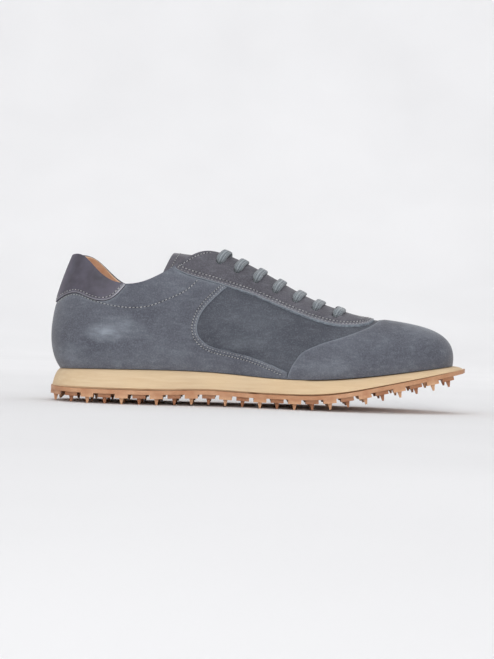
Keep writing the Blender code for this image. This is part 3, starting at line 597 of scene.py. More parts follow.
    @staticmethod
    def soften(piece: Piece, sharp_deg: float, crease: float, levels: int = 2) -> None:
        """Subdivides a copied solid and keeps its sharp edges.

        Args:
            piece: The copy.
            sharp_deg: Edges that turn more than this are kept.
            crease: How firmly they are kept, from 0 to 1.
            levels: Subdivision levels.
        """
        Bench.pick(piece)
        bpy.ops.object.mode_set(mode="EDIT")
        bpy.ops.mesh.select_mode(type="EDGE")
        bpy.ops.mesh.select_all(action="DESELECT")
        bpy.ops.mesh.edges_select_sharp(sharpness=math.radians(sharp_deg))
        bpy.ops.transform.edge_crease(value=crease)
        bpy.ops.mesh.select_mode(type="VERT")
        bpy.ops.object.mode_set(mode="OBJECT")
        finer = piece.modifiers.new("finer", "SUBSURF")
        finer.levels = finer.render_levels = levels
        Bench.apply(piece)

    @staticmethod
    def smooth(piece: Piece, angle_deg: float = 40.0) -> None:
        """Shades a piece smooth up to an angle."""
        Bench.pick(piece)
        bpy.ops.object.shade_smooth_by_angle(angle=math.radians(angle_deg))

    @staticmethod
    def hand_over(piece: Piece, slot: str | None, *nodes: str) -> Piece:
        """Rides a piece on the shoe and hides the solids that it stands for.

        Args:
            piece: The finished piece.
            slot: Material slot of the record, or None; not used.
            *nodes: CAD nodes that it replaces.

        Returns:
            The piece.
        """
        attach(piece, BODY)
        if nodes:
            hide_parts(*nodes)
        LOG.info("%s: %d faces", piece.name, len(piece.data.polygons))
        return piece


class Grain(Enum):
    """Kinds of texture, as Blender's node and the output to read."""

    CLOUDS = ("TexNoise", "Fac")
    PORES = ("TexVoronoi", "Distance")


class Pattern:
    """Something that varies over a surface, as a number at each place."""

    def values(self, painter: Painter) -> Socket:
        """Adds the pattern's nodes and gives its numbers."""
        raise NotImplementedError


@dataclass
class Painter:
    """Adds the nodes of one material; a pattern that is used twice is made once."""

    tree: bpy.types.NodeTree
    made: dict[Pattern, Socket] = field(default_factory=dict)

    def __post_init__(self) -> None:
        """Takes the object's own space and its UV as places."""
        self.at = self.add_node("TexCoord")

    def add_node(self, kind: str, inputs: dict[str | int, object] | None = None,
                 **settings: str) -> bpy.types.NodeOutputs:
        """Adds a node with its settings and links.

        Args:
            kind: Blender's name of the node, after its ShaderNode.
            inputs: Values or sockets for its inputs, by name or place.
            **settings: Properties to set.

        Returns:
            The node's outputs.
        """
        node = self.tree.nodes.new(f"ShaderNode{kind}")
        for name, value in settings.items():
            setattr(node, name, value)
        for name, value in (inputs or {}).items():
            if isinstance(value, Socket):
                self.tree.links.new(value, node.inputs[name])
            else:
                node.inputs[name].default_value = value
        return node.outputs

    def read(self, pattern: Pattern) -> Socket:
        """The numbers of a pattern."""
        if pattern not in self.made:
            self.made[pattern] = pattern.values(self)
        return self.made[pattern]


@dataclass(frozen=True)
class Texture(Pattern):
    """A texture with features of a size, finer layers over them and the strength of those.

    A stretch above 1 makes the features shorter along that axis.
    """

    size_mm: float
    detail: float = 2.0
    rough: float = 0.5
    stretch: Triple = (1.0, 1.0, 1.0)
    grain: Grain = Grain.CLOUDS

    def values(self, painter: Painter) -> Socket:
        """The texture in the object's own space."""
        kind, output = self.grain.value
        place = painter.add_node("Mapping", {"Vector": painter.at["Object"], "Scale": self.stretch})
        return painter.add_node(kind, {"Vector": place["Vector"], "Scale": per_mm(self.size_mm),
                                       "Detail": self.detail, "Roughness": self.rough})[output]


@dataclass(frozen=True)
class Stored(Pattern):
    """A number that the mesh stores for each point."""

    name: str

    def values(self, painter: Painter) -> Socket:
        """The stored numbers."""
        return painter.add_node("Attribute", attribute_name=self.name)["Fac"]


@dataclass(frozen=True)
class Weave(Pattern):
    """Ribs along a lace, crossed by a weft."""

    ribs: int
    weft_mm: float
    weft_share: float

    def values(self, painter: Painter) -> Socket:
        """Ribs from the place round the lace, weft from the place along it."""
        parts = painter.add_node("SeparateXYZ", {0: painter.at["UV"]})
        turn = painter.add_node("Math", {0: parts["Y"], 1: 2 * math.pi * self.ribs}, operation="MULTIPLY")
        rib = painter.add_node("Math", {0: turn[0]}, operation="SINE")[0]
        pick = painter.add_node("Math", {0: parts["X"], 1: 2 * math.pi / self.weft_mm, 2: rib},
                                operation="MULTIPLY_ADD")
        weft = painter.add_node("Math", {0: pick[0]}, operation="SINE")
        return painter.add_node("Math", {0: weft[0], 1: self.weft_share, 2: rib},
                                operation="MULTIPLY_ADD")[0]


@dataclass(frozen=True)
class PaleSpot:
    """A soft pale place on the leather: its middle and reach in millimetres, and how strong it is."""

    middle: Triple
    reach: Triple
    share: float


@dataclass(frozen=True)
class PalePlaces(Pattern):
    """Worn edges, and pale places that streaks break up between their low and high: rubbed ones, and one of
    painted light.
    """

    worn_share: float
    streaks: Texture
    pale_spots: tuple[PaleSpot, ...]
    low: float = 0.1
    high: float = 0.58
    core: float = 0.9

    def values(self, painter: Painter) -> Socket:
        """The strongest of all the wear and painted light at each place."""
        most = painter.add_node("MapRange", {"Value": painter.read(WEAR), "To Max": self.worn_share})[0]
        broken = painter.add_node("MapRange", {"Value": painter.read(self.streaks), "From Min": self.low,
                                               "From Max": self.high})[0]
        for pale_spot in self.pale_spots:
            spot = painter.add_node("Mapping", {"Vector": painter.at["Object"],
                                                "Location": tuple(to_row(np.array(pale_spot.middle))),
                                                "Scale": tuple(r * MM for r in pale_spot.reach)},
                                    vector_type="TEXTURE")
            ball = painter.add_node("TexGradient", {"Vector": spot[0]}, gradient_type="SPHERICAL")
            soft = painter.add_node("MapRange", {"Value": ball["Fac"], "From Max": self.core,
                                                 "To Max": pale_spot.share})
            here = painter.add_node("Math", {0: soft[0], 1: broken}, operation="MULTIPLY")
            most = painter.add_node("Math", {0: most, 1: here[0]}, operation="MAXIMUM")[0]
        return most


@dataclass(frozen=True)
class Tone:
    """A colour over those before it: none where a pattern is low, up to a share where it is high."""

    colour: str
    pattern: Pattern
    low: float = 0.35
    high: float = 0.65
    share: float = 1.0


@dataclass(frozen=True)
class Relief:
    """A pattern that raises the surface: its depth, how much of it shows, and where it is held."""

    pattern: Pattern
    depth_mm: float
    strength: float
    limits: tuple[float, float] | None = None


@dataclass(frozen=True)
class Finish:
    """A material: a ground colour, tones over it in patterns, and a relief."""

    name: str
    roughness: float
    ground: str
    tones: tuple[Tone, ...]
    relief: Relief | None = None
    specular: float = 0.5
    sheen: float = 0.0
    coat: float = 0.0
    coat_roughness: float = 0.45
    ior: float = 1.5

    def material(self) -> bpy.types.Material:
        """The material, made on first use."""
        made = bpy.data.materials.get(self.name)
        if made is None:
            made = bpy.data.materials.new(self.name)
            made.use_nodes = True
            self.paint(Painter(made.node_tree))
        return made

    def paint(self, painter: Painter) -> None:
        """Adds the finish's nodes to a new material."""
        shader = painter.tree.nodes["Principled BSDF"].inputs
        base = {"Roughness": self.roughness, "IOR": self.ior, "Specular IOR Level": self.specular,
                "Sheen Weight": self.sheen, "Coat Weight": self.coat, "Coat Roughness": self.coat_roughness}
        for name, value in base.items():
            shader[name].default_value = value
        body = linear(self.ground)
        for tone in self.tones:
            share = painter.add_node("MapRange", {"Value": painter.read(tone.pattern), "From Min": tone.low,
                                                  "From Max": tone.high, "To Max": tone.share})
            body = painter.add_node("Mix", {0: share[0], 6: body, 7: linear(tone.colour)},
                                    data_type="RGBA")[2]
        painter.tree.links.new(body, shader["Base Color"])
        if self.relief is None:
            return
        height = painter.read(self.relief.pattern)
        if self.relief.limits is not None:
            low, high = self.relief.limits
            height = painter.add_node("MapRange", {"Value": height, "From Min": low, "From Max": high})[0]
        raised = painter.add_node("Bump", {"Height": height, "Distance": self.relief.depth_mm * MM,
                                           "Strength": self.relief.strength})
        painter.tree.links.new(raised["Normal"], shader["Normal"])


# Places of the leather that are rubbed pale in the photograph, and one broad place of painted light low on
# the medial quarter
PALE_SPOTS = (
    PaleSpot((41.5, -36.5, 49.8), (17.0, 13.0, 8.5), 1.0),
    PaleSpot((52.0, -37.0, 53.5), (20.0, 13.0, 10.0), 0.5),
    PaleSpot((140.0, -36.0, 46.0), (22.0, 14.0, 8.0), 0.35),
    PaleSpot((150.0, -30.0, 60.0), (24.0, 16.0, 12.0), 0.22),
    PaleSpot((235.0, -38.0, 48.0), (30.0, 16.0, 10.0), 0.1),
    # Painted light: lifts the lower medial quarter, which the lamps from above leave darker
    PaleSpot((70.0, -36.0, 30.0), (62.0, 18.0, 13.0), 0.14),
    PaleSpot((196.0, -44.0, 30.0), (30.0, 14.0, 7.0), 0.3),
    PaleSpot((262.0, 0.0, 60.0), (26.0, 30.0, 12.0), 0.52),
    PaleSpot((20.0, -26.0, 34.0), (26.0, 16.0, 9.0), 0.25),
    PaleSpot((250.0, 30.0, 48.0), (30.0, 16.0, 14.0), 0.3),
    PaleSpot((60.0, 38.0, 50.0), (24.0, 14.0, 10.0), 0.35),
)
WEAR = Stored("wear")
CLOUD = Texture(34.0, 4.0, 0.6)
STREAK = Texture(8.0, 5.0, 0.62, (1.0, 1.0, 2.6))
DYE = Texture(15.0, 3.0, 0.55)
TAN = Texture(18.0, 5.0, 0.6)
FIBRE = Texture(2.0, 3.0)
SAWN = Texture(2.2, 4.0, 0.6, (0.06, 0.3, 1.0))
AMBER = Texture(9.0, 4.0, 0.6)
# The real nap, pores, grain, ribs and weft are finer than these and would not show
NAP = Texture(1.0, 3.0, 0.7)
DYED_PORES = Texture(1.2, 0.0, grain=Grain.PORES)
TAN_GRAIN = Texture(1.1, 0.0, grain=Grain.PORES)
WEAVE = Weave(18, 1.3, 0.45)


def nubuck(name: str, deep: str, middle: str, pale: str, worn_share: float = 0.5) -> Finish:
    """Sanded leather: a short dull nap that shades in clouds, pales where it is rubbed, and carries one
    broad place of painted light.

    Args:
        name: Name of the material.
        deep: Its darkest wide clouds.
        middle: Its palest wide clouds.
        pale: Raised nap, rubbed places and painted light.
        worn_share: How strongly its cut edges are rubbed.

    Returns:
        The finish.
    """
    tones = (Tone(middle, CLOUD, 0.34, 0.66), Tone(pale, STREAK, 0.5, 0.8, 0.3),
             Tone(pale, NAP, 0.5, 0.78, 0.4), Tone("#3f424a", NAP, 0.5, 0.25, 0.45),
             Tone(pale, PalePlaces(worn_share, STREAK, PALE_SPOTS), 0.0, 1.0))
    return Finish(name, 0.9, deep, tones, Relief(NAP, 0.35, 0.5), specular=0.25, sheen=0.22)


def tan_leather(name: str, dark: str, light: str) -> Finish:
    """Vegetable-tanned leather: a warm, cloudy tan, smooth, with fine grain and a soft gloss."""
    return Finish(name, 0.52, dark, (Tone(light, TAN, 0.33, 0.67),), Relief(TAN_GRAIN, 0.12, 0.25))


def cut_edge(name: str, dark: str, light: str) -> Finish:
    """The cut edge of a leather: its broken fibres, dull and rough."""
    return Finish(name, 0.95, dark, (Tone(light, FIBRE),), Relief(FIBRE, 0.2, 0.4))


NUBUCK = nubuck("nubuck_leather", "#53555e", "#646770", "#8e959e")
# The leather of eyestay and tongue is a little warmer and darker than the rest, that of the vamp only darker
FACING = nubuck("facing_nubuck_leather", "#4c4a51", "#5c5a61", "#8b8f97", 0.8)
VAMP = nubuck("vamp_nubuck_leather", "#45474f", "#555860", "#80878f")
LINING = tan_leather("tanned_lining_leather", "#d8a581", "#efc7a6")
LINING_EDGE = tan_leather("tan_lining_edge", "#d0a27c", "#ecc9a6")
INSOLE = tan_leather("insole_tan_leather", "#b98160", "#cf9a75")
# Cut edges: the raw leather's own paler colour, made paler still as a painted highlight along the edges
PALE_EDGE = cut_edge("cut_leather_edge", "#6d757e", "#929ba3")
DYED_EDGE = cut_edge("dyed_leather_edge", "#4b4950", "#67656d")
# Drum-dyed leather: a satin face under thin wax, faintly cloudy, with fine pores and pale worn edges
SMOOTH = Finish("smooth_dyed_leather", 0.5, "#3f3b44",
                (Tone("#575361", DYE), Tone("#aaabb2", WEAR, 0.0, 1.0, 0.9)),
                Relief(DYED_PORES, 0.12, 0.3), coat=0.08)
# Cut and sanded foam rubber: a pale tan with faint streaks along the cut, warm clouds and fine cells
FOAM = Finish("sanded_foam_rubber", 0.8, "#d0b592",
              (Tone("#dcc5a2", SAWN, 0.3, 0.7), Tone("#dcbd92", Texture(40.0), 0.4, 0.7, 0.35),
               Tone("#bfa27a", Texture(1.0), 0.62, 0.8, 0.25)), Relief(SAWN, 0.15, 0.35))
# Moulded gum rubber: a cloudy brown amber with a dull skin, and painted shade that darkens its band under
# the midsole and the studs that stand back
GUM = Finish("moulded_gum_rubber", 0.55, "#ba835d",
             (Tone("#d8ad87", AMBER, 0.3, 0.7), Tone("#9d6341", Stored("recess_shade"), 0.0, 1.0, 0.8)),
             Relief(Texture(1.2, 3.0), 0.15, 0.3))
# Flat woven cotton: ribs along its length, crossed by a fine weft, with a little pale fuzz
COTTON = Finish("woven_cotton_lace", 0.92, "#555b61",
                (Tone("#939a9f", WEAVE, -1.3, 1.2), Tone("#a3a9ae", Texture(1.5), 0.5, 0.8, 0.3)),
                Relief(WEAVE, 0.35, 0.9, (-1.4, 1.4)), sheen=0.3)
# Waxed polyester thread: a pale grey, broken by its twist
THREAD = Finish("waxed_sewing_thread", 0.6, "#88898a", (Tone("#b6b6b5", Texture(1.6)),))
# Painted shade for the inside of a hole: near black, with a little torn fibre
HOLE_SHADE = Finish("painted_hole_shade", 1.0, "#26272b", (Tone("#3a3b41", Texture(0.8)),), specular=0.1)
# Matt background paper: pale, cool and almost even, with a trace of fibre
PAPER = Finish("matt_background_paper", 1.0, "#e8e8e9", (Tone("#ededee", Texture(300.0), 0.3, 0.7),),
               specular=0.0)


@dataclass(frozen=True)
class Crease:
    """A soft trough in the leather: two ends seen from the side, its half width and its depth.

    It is at its shallowest over the run-out, a share of its length at each end.
    """

    start: tuple[float, float]
    end: tuple[float, float]
    half_width: float
    depth: float
    run_out: float = 0.08

    def sunk(self, seen: Array) -> Array:
        """Depth of the trough at x and z, in millimetres."""
        start, along = np.array(self.start), np.array(self.end) - np.array(self.start)
        share = np.clip(((seen - start) @ along) / (along @ along), 0.0, 1.0)
        off = np.linalg.norm(seen - start - share[..., None] * along, axis=-1)
        fade = np.sin(np.pi * np.clip(share, self.run_out, 1.0 - self.run_out))
        return self.depth * fade * falloff(off, self.half_width)


CREASES = (
    Crease((176.0, 60.0), (186.0, 50.0), 5.0, 0.35),
    Crease((164.0, 66.0), (176.0, 40.0), 6.0, 0.3),
    Crease((150.0, 72.0), (160.0, 46.0), 7.0, 0.25),
    Crease((92.0, 66.0), (100.0, 48.0), 6.0, 0.45),
    Crease((70.0, 60.0), (84.0, 40.0), 9.0, 0.3),
    Crease((20.0, 62.0), (40.0, 66.0), 6.0, 0.25),
    Crease((205.0, 48.0), (222.0, 36.0), 8.0, 0.3),
    Crease((240.0, 56.0), (252.0, 44.0), 9.0, 0.25),
)


def crease_depth(points: Array) -> Array:
    """Depth of all the troughs at points of the upper, in millimetres."""
    return sum(crease.sunk(points[..., [0, 2]]) for crease in CREASES)


@dataclass(frozen=True)
class Stitch:
    """One kind of stitch: its step along the row, its size, its lean and whether dark needle-hole marks of
    painted shade go between its stitches.
    """

    pitch: float = 2.6
    length: float = 1.6
    width: float = 0.6
    lean_deg: float = 8.0
    shows_hole_shade: bool = True


@dataclass(frozen=True)
class StitchRow:
    """A row of stitches beside a line on a panel.

    The line is given as u and v; the row lies an inset away from it, on the panel's side.
    """

    u: Array
    v: Array
    inset: float
    stitch: Stitch = Stitch()


def near_tree(points: Array) -> KDTree:
    """A search tree for the nearest of some points."""
    tree = KDTree(len(points))
    for k, p in enumerate(points):
        tree.insert(p, k)
    tree.balance()
    return tree


@dataclass
class Panel:
    """A layer of leather on the last, with its seams.

    It lies at an outer depth. Thread pulls it down in grooves, its cut edges are skived thinner and worn
    pale, and near its foot, up to foot_hold, nothing moves it. Its sides count as cut from foot_share to
    top_share.
    """

    last: Last
    name: str
    node: str
    slot: str = "nubuck"
    outer: float = 0.0
    thickness: float = 1.6
    face: Finish = NUBUCK
    back: Finish = PALE_EDGE
    rim: Finish = PALE_EDGE
    edge_round: float = 0.35
    groove: float = 0.32
    groove_width: float = 1.1
    groove_reach: float = 4.0
    groove_step: float = 0.6
    wear_width: float = 1.5
    skive: float = 0.3
    skive_width: float = 1.6
    foot_share: float = 0.02
    top_share: float = 0.98
    foot_hold: float = 0.03
    punched: bool = False

    def depth(self, u: Array, v: Array) -> Array:
        """Depth of the panel's face at u and v."""
        return np.full(np.shape(u), self.outer)

    def rows(self) -> list[StitchRow]:
        """Stitch rows that the panel carries."""
        return []

    def grid(self) -> tuple[Array, Array]:
        """u and v of the panel's points, columns first."""
        raise NotImplementedError

    @staticmethod
    def above(edge: Edge, columns: int, levels: int) -> tuple[Array, Array]:
        """u and v of a grid from an edge up to the top of the shell."""
        u = edge.inside(0.0, columns)
        low = edge.v(u)[:, None]
        return np.repeat(u[:, None], levels, axis=1), low + (1.0 - low) * np.linspace(0.0, 1.0, levels)

    def row_line(self, row: StitchRow, cloud: KDTree) -> Array:
        """The line that a stitch row follows.

        Args:
            row: The row.
            cloud: Points of the panel, to tell its side of the edge.

        Returns:
            Points in millimetres, close together.
        """
        edge = self.last.point(row.u, row.v, self.depth(row.u, row.v))
        if row.inset <= 0.0:
            return edge
        aside = np.cross(self.last.normal(row.u, row.v), unit(np.gradient(edge, axis=0)))
        lines = [edge + aside * row.inset * sign for sign in (1, -1)]
        misses = [sum(cloud.find(p)[2] for p in line[::4]) for line in lines]
        return lines[int(np.argmin(misses))]

    def build(self) -> list[Piece]:
        """Makes the panel and its stitches.

        Returns:
            The pieces made.
        """
        u, v = self.grid()
        points = self.last.point(u, v, self.depth(u, v))
        rows = self.rows()
        cloud = near_tree(points.reshape(-1, 3))
        lines = [self.row_line(row, cloud) for row in rows]
        inland = self.inland(points, v)
        sunk = crease_depth(points) + self.groove_depth(points, lines)
        sunk += self.skive * falloff(inland, self.skive_width)
        sheet = Bench.sheet(self.name, self.pressed(u, v, points, sunk))
        Bench.attribute(sheet, "wear", self.wear(points, inland))
        made = [self.make_up(sheet)]
        if rows:
            made.append(Stitcher(sheet).sew(f"{self.name}_stitches", [row.stitch for row in rows], lines))
        return made

    def pressed(self, u: Array, v: Array, points: Array, sunk: Array) -> Array:
        """Points moved inwards by depths that run out towards the foot."""
        normals = self.last.normal(u.ravel(), v.ravel()).reshape(points.shape)
        return points - normals * (sunk * np.clip(v / self.foot_hold, 0.0, 1.0))[..., None]

    def make_up(self, sheet: Piece) -> Piece:
        """Gives the sheet its finishes and wall, cuts its holes and hands it over."""
        Bench.coat(sheet, self.face, self.back, self.rim)
        Bench.thicken(sheet, self.thickness, self.edge_round)
        if self.punched:
            Eyelets(self.last).punch(sheet)
        Bench.smooth(sheet)
        return Bench.hand_over(sheet, self.slot, self.node)

    def wear(self, points: Array, inland: Array) -> Array:
        """How far each point is rubbed pale, given its distance from the cut edges."""
        return falloff(inland, self.wear_width)

    def groove_depth(self, points: Array, lines: Sequence[Array]) -> Array:
        """Depth that the thread pulls the leather down, in millimetres."""
        sunk = np.zeros(points.shape[:-1])
        for line in lines:
            dense = evenly(line, max(8, int(run_of(line)[-1] / self.groove_step)))
            tree = near_tree(dense)
            low, high = dense.min(axis=0) - self.groove_reach, dense.max(axis=0) + self.groove_reach
            near = np.all((points > low) & (points < high), axis=-1)
            off = np.array([tree.find(p)[2] for p in points[near]])
            sunk[near] = np.maximum(sunk[near], self.groove * falloff(off, self.groove_width))
        return sunk

    def inland(self, points: Array, v: Array) -> Array:
        """Distance of each point from the panel's cut edges, its foot and the topline left out."""
        border = np.zeros(v.shape, bool)
        border[[0, -1]] = border[:, [0, -1]] = True
        border &= (v > self.foot_share) & (v < self.top_share)
        tree = near_tree(points[border])
        return np.array([tree.find(p)[2] for p in points.reshape(-1, 3)]).reshape(v.shape)


@dataclass
class Stitcher:
    """Sews rows of stitches on a panel as one joined mesh."""

    panel: Piece
    rise: float = 0.12
    # Size of the needle-hole mark, a dark flattened capsule of painted shade
    hole: Triple = (0.8, 0.62, 0.24)
    bluntness: float = 0.8

    def template(self, size: Triple) -> tuple[Array, list[tuple[int, ...]]]:
        """Points and faces of a capsule along x with these sizes, in millimetres."""
        ball = Bench.primitive(bpy.ops.mesh.primitive_uv_sphere_add, segments=8, ring_count=6, radius=1.0)
        Bench.edit(ball, lambda: bpy.ops.transform.rotate(value=math.pi / 2, orient_axis="Y",
                                                          center_override=(0.0, 0.0, 0.0)))
        points = np.array([vertex.co for vertex in ball.data.vertices])
        faces = [tuple(face.vertices) for face in ball.data.polygons]
        bpy.data.objects.remove(ball, do_unlink=True)
        points[:, 0] = squared_off(points[:, 0], self.bluntness)
        return points * np.array(size) / 2, faces

    def sew(self, name: str, kinds: Sequence[Stitch], lines: Sequence[Array]) -> Piece:
        """Places a stitch at every step of every row and, where the row has them, a dark needle-hole mark of
        painted shade between each two.

        Args:
            name: Name of the piece.
            kinds: The kind of stitch of each row.
            lines: The line that each row follows, in millimetres.

        Returns:
            The joined stitches.
        """
        tree = BVHTree.FromObject(self.panel, bpy.context.evaluated_depsgraph_get())
        verts: list[Array] = []
        faces: list[tuple[int, ...]] = []
        finish: list[int] = []
        count = 0
        hole, _ = self.template(self.hole)
        for stitch, line in zip(kinds, lines):
            shape, sides = self.template((stitch.length, stitch.width, stitch.width))
            number = max(2, int(run_of(line)[-1] / stitch.pitch))
            fine = to_row(evenly(line, number * 2 + 1))
            for k in range(1, number * 2, 1 if stitch.shows_hole_shade else 2):
                at, up, _, _ = tree.find_nearest(Vector(fine[k]))
                ahead = Vector(fine[k + 1] - fine[k - 1])
                ahead = (ahead - up * ahead.dot(up)).normalized()
                ahead.rotate(Matrix.Rotation(math.radians(stitch.lean_deg), 3, up))
                turn = np.array([ahead, up.cross(ahead), up])
                sewn = k % 2
                lift = self.rise if sewn else 0.0
                verts.append((shape if sewn else hole) @ turn * MM + np.array(at + up * lift * MM))
                faces += [tuple(i + count for i in side) for side in sides]
                finish += [1 - sewn] * len(sides)
                count += len(shape)
        mesh = bpy.data.meshes.new(name)
        mesh.from_pydata(np.vstack(verts).tolist(), [], faces)
        mesh.polygons.foreach_set("material_index", finish)
        made = bpy.data.objects.new(name, mesh)
        bpy.context.scene.collection.objects.link(made)
        Bench.coat(made, THREAD, HOLE_SHADE)
        Bench.smooth(made, angle_deg=180.0)
        return Bench.hand_over(made, None)


@dataclass
class Eyelets:
    """The punched holes in the facings."""

    last: Last
    radius: float = 2.5
    clear: float = 3.0
    reach: float = 6.0
    sides: int = 20

    def pin(self, pair: int, side: Side) -> Piece:
        """A pin along the axis of one hole, from clear of the wall to its reach inside."""
        u, v = self.last.locate(*EYELETS[pair], side)
        outside, inside = (self.last.point(u, v, depth) for depth in (-self.clear, self.reach))
        axis = Vector(outside - inside)
        pin = Bench.primitive(bpy.ops.mesh.primitive_cylinder_add, vertices=self.sides,
                              radius=self.radius * MM, depth=axis.length * MM)
        turn = axis.to_track_quat("Z", "Y").to_matrix().to_4x4()
        pin.data.transform(Matrix.Translation(to_row((outside + inside) / 2)) @ turn)
        return pin

    def punch(self, sheet: Piece) -> None:
        """Cuts all the holes out of a panel."""
        pins = [self.pin(pair, side) for side in Side for pair in range(len(EYELETS))]
        cutter = pins[0]
        Bench.pick(cutter)
        for pin in pins:
            pin.select_set(True)
        bpy.ops.object.join()
        # The walls of the punched holes get near-black leather: painted shade inside the holes
        Bench.coat(sheet, HOLE_SHADE)
        for face in cutter.data.polygons:
            face.material_index = len(sheet.data.materials) - 1
        hole = sheet.modifiers.new("eyelets", "BOOLEAN")
        hole.operation = "DIFFERENCE"
        hole.solver = "EXACT"
        hole.object = cutter
        Bench.apply(sheet)
        bpy.data.objects.remove(cutter, do_unlink=True)


@dataclass
class Shell(Panel):
    """The upper's own wall, nubuck outside and tan lining inside; its creases run out below the top."""

    name: str = "upper_shell"
    node: str = "upper"
    outer: float = 1.25
    thickness: float = 2.0
    columns: int = 420
    levels: int = 54
    edge_round: float = 0.3
    top_hold: float = 0.1
    punched: bool = True
    face: Finish = VAMP
    back: Finish = LINING
    rim: Finish = LINING_EDGE

    def grid(self) -> tuple[Array, Array]:
        """All round the foot, from foot to top."""
        round_foot = np.linspace(0.0, self.last.length, self.columns + 1)
        return np.meshgrid(round_foot, np.linspace(0.0, 1.0, self.levels), indexing="ij")

    def build(self) -> list[Piece]:
        """Makes the wall as a closed ring."""
        u, v = self.grid()
        points = self.last.point(u, v, self.outer)
        sunk = crease_depth(points) * np.clip((1.0 - v) / self.top_hold, 0.0, 1.0)
        return [self.make_up(Bench.sheet(self.name, self.pressed(u, v, points, sunk), closed=True))]


@dataclass
class HeelTab(Panel):
    """Smooth leather round the top of the heel, its front ends worn from an x on, over a fade."""

    name: str = "heel_tab_leather"
    node: str = "heel_tab"
    slot: str = "smooth_leather"
    outer: float = -0.9
    thickness: float = 2.5
    face: Finish = SMOOTH
    rim: Finish = DYED_EDGE
    wear_width: float = 0.8
    worn_from: float = 43.0
    worn_fade: float = 6.0
    edge_wear: float = 0.5
    columns: int = 130
    levels: int = 30
    row_ends: tuple[float, float] = (1.0, 0.5)
    row_inset: float = 2.0
    row_points: int = 160

    def wear(self, points: Array, inland: Array) -> Array:
        """The front ends are rubbed pale in a wider band than the lower edge."""
        front = np.clip((points[..., 0] - self.worn_from) / self.worn_fade, 0.0, 1.0)
        strength = self.edge_wear + (1.0 - self.edge_wear) * front
        return strength * falloff(inland, self.wear_width * (1.0 + front))

    def grid(self) -> tuple[Array, Array]:
        """From the lower edge to the topline."""
        return self.above(self.last.tab, self.columns, self.levels)

    def rows(self) -> list[StitchRow]:
        """One row along the lower edge."""
        tab = self.last.tab
        u = np.linspace(tab.first + self.row_ends[0], tab.last - self.row_ends[1], self.row_points)
        return [StitchRow(u, tab.v(u), self.row_inset)]


@dataclass
class Eyestay(Panel):
    """The U that carries the eyelets; it thins out towards its nose over a reach.

    Its wear is given as two x and the width of the pale band at each.
    """

    name: str = "eyestay_leather"
    node: str = "eyestay"
    outer: float = -0.9
    thickness: float = 2.5
    nose_outer: float = -0.1
    nose_reach: float = 60.0
    worn: tuple[tuple[float, float], tuple[float, float]] = ((88.0, 150.0), (0.6, 1.6))
    slanted: Stitch = Stitch(pitch=2.5, lean_deg=18.0)
    buried: Stitch = Stitch(pitch=2.5, length=1.3, width=0.44, shows_hole_shade=False)
    row_insets: tuple[float, float] = (1.5, 3.5)
    row_end: float = 0.4
    nose_insets: tuple[float, float] = (7.2, 9.2)
    nose_end: float = 12.0
    rear_inset: float = 2.0
    rear_reach: float = 6.0
    rear_end: float = 0.5
    columns: int = 330
    levels: int = 30
    row_points: int = 420
    nose_points: int = 160
    rear_points: int = 80
    face: Finish = FACING
    punched: bool = True

    def wear(self, points: Array, inland: Array) -> Array:
        """The edge is rubbed pale, in a band that widens from the rear ends to the front."""
        return falloff(inland, np.interp(points[..., 0], *self.worn))

    def depth(self, u: Array, v: Array) -> Array:
        """The face stands proud at the facings and thins out towards the nose."""
        share = np.clip(np.abs(u - self.last.toe_u) / self.nose_reach, 0.0, 1.0)
        return self.nose_outer + (self.outer - self.nose_outer) * share * share * (3 - 2 * share)

    def grid(self) -> tuple[Array, Array]:
        """From the lower edge to the throat."""
        return self.above(self.last.stay, self.columns, self.levels)

    def rows(self) -> list[StitchRow]:
        """Two rows along the lower edge, two more round the nose, and one at each rear end."""
        knot, stay = self.last.knot, self.last.stay
        u = stay.inside(self.row_end, self.row_points)
        rows = [StitchRow(u, stay.v(u), inset, stitch)
                for inset, stitch in zip(self.row_insets, (self.buried, self.slanted))]
        nose = np.linspace(knot["joint", Side.MEDIAL] + self.nose_end,
                           knot["joint", Side.LATERAL] - self.nose_end, self.nose_points)
        rows += [StitchRow(nose, stay.v(nose), inset, self.slanted) for inset in self.nose_insets]
        ends = ((stay.first, knot["facing_rear", Side.MEDIAL] + self.rear_reach),
                (knot["facing_rear", Side.LATERAL] - self.rear_reach, stay.last))
        for first, last in ends:
            rear = np.linspace(first + self.rear_end, last - self.rear_end, self.rear_points)
            rows.append(StitchRow(rear, np.ones_like(rear), self.rear_inset))
        return rows


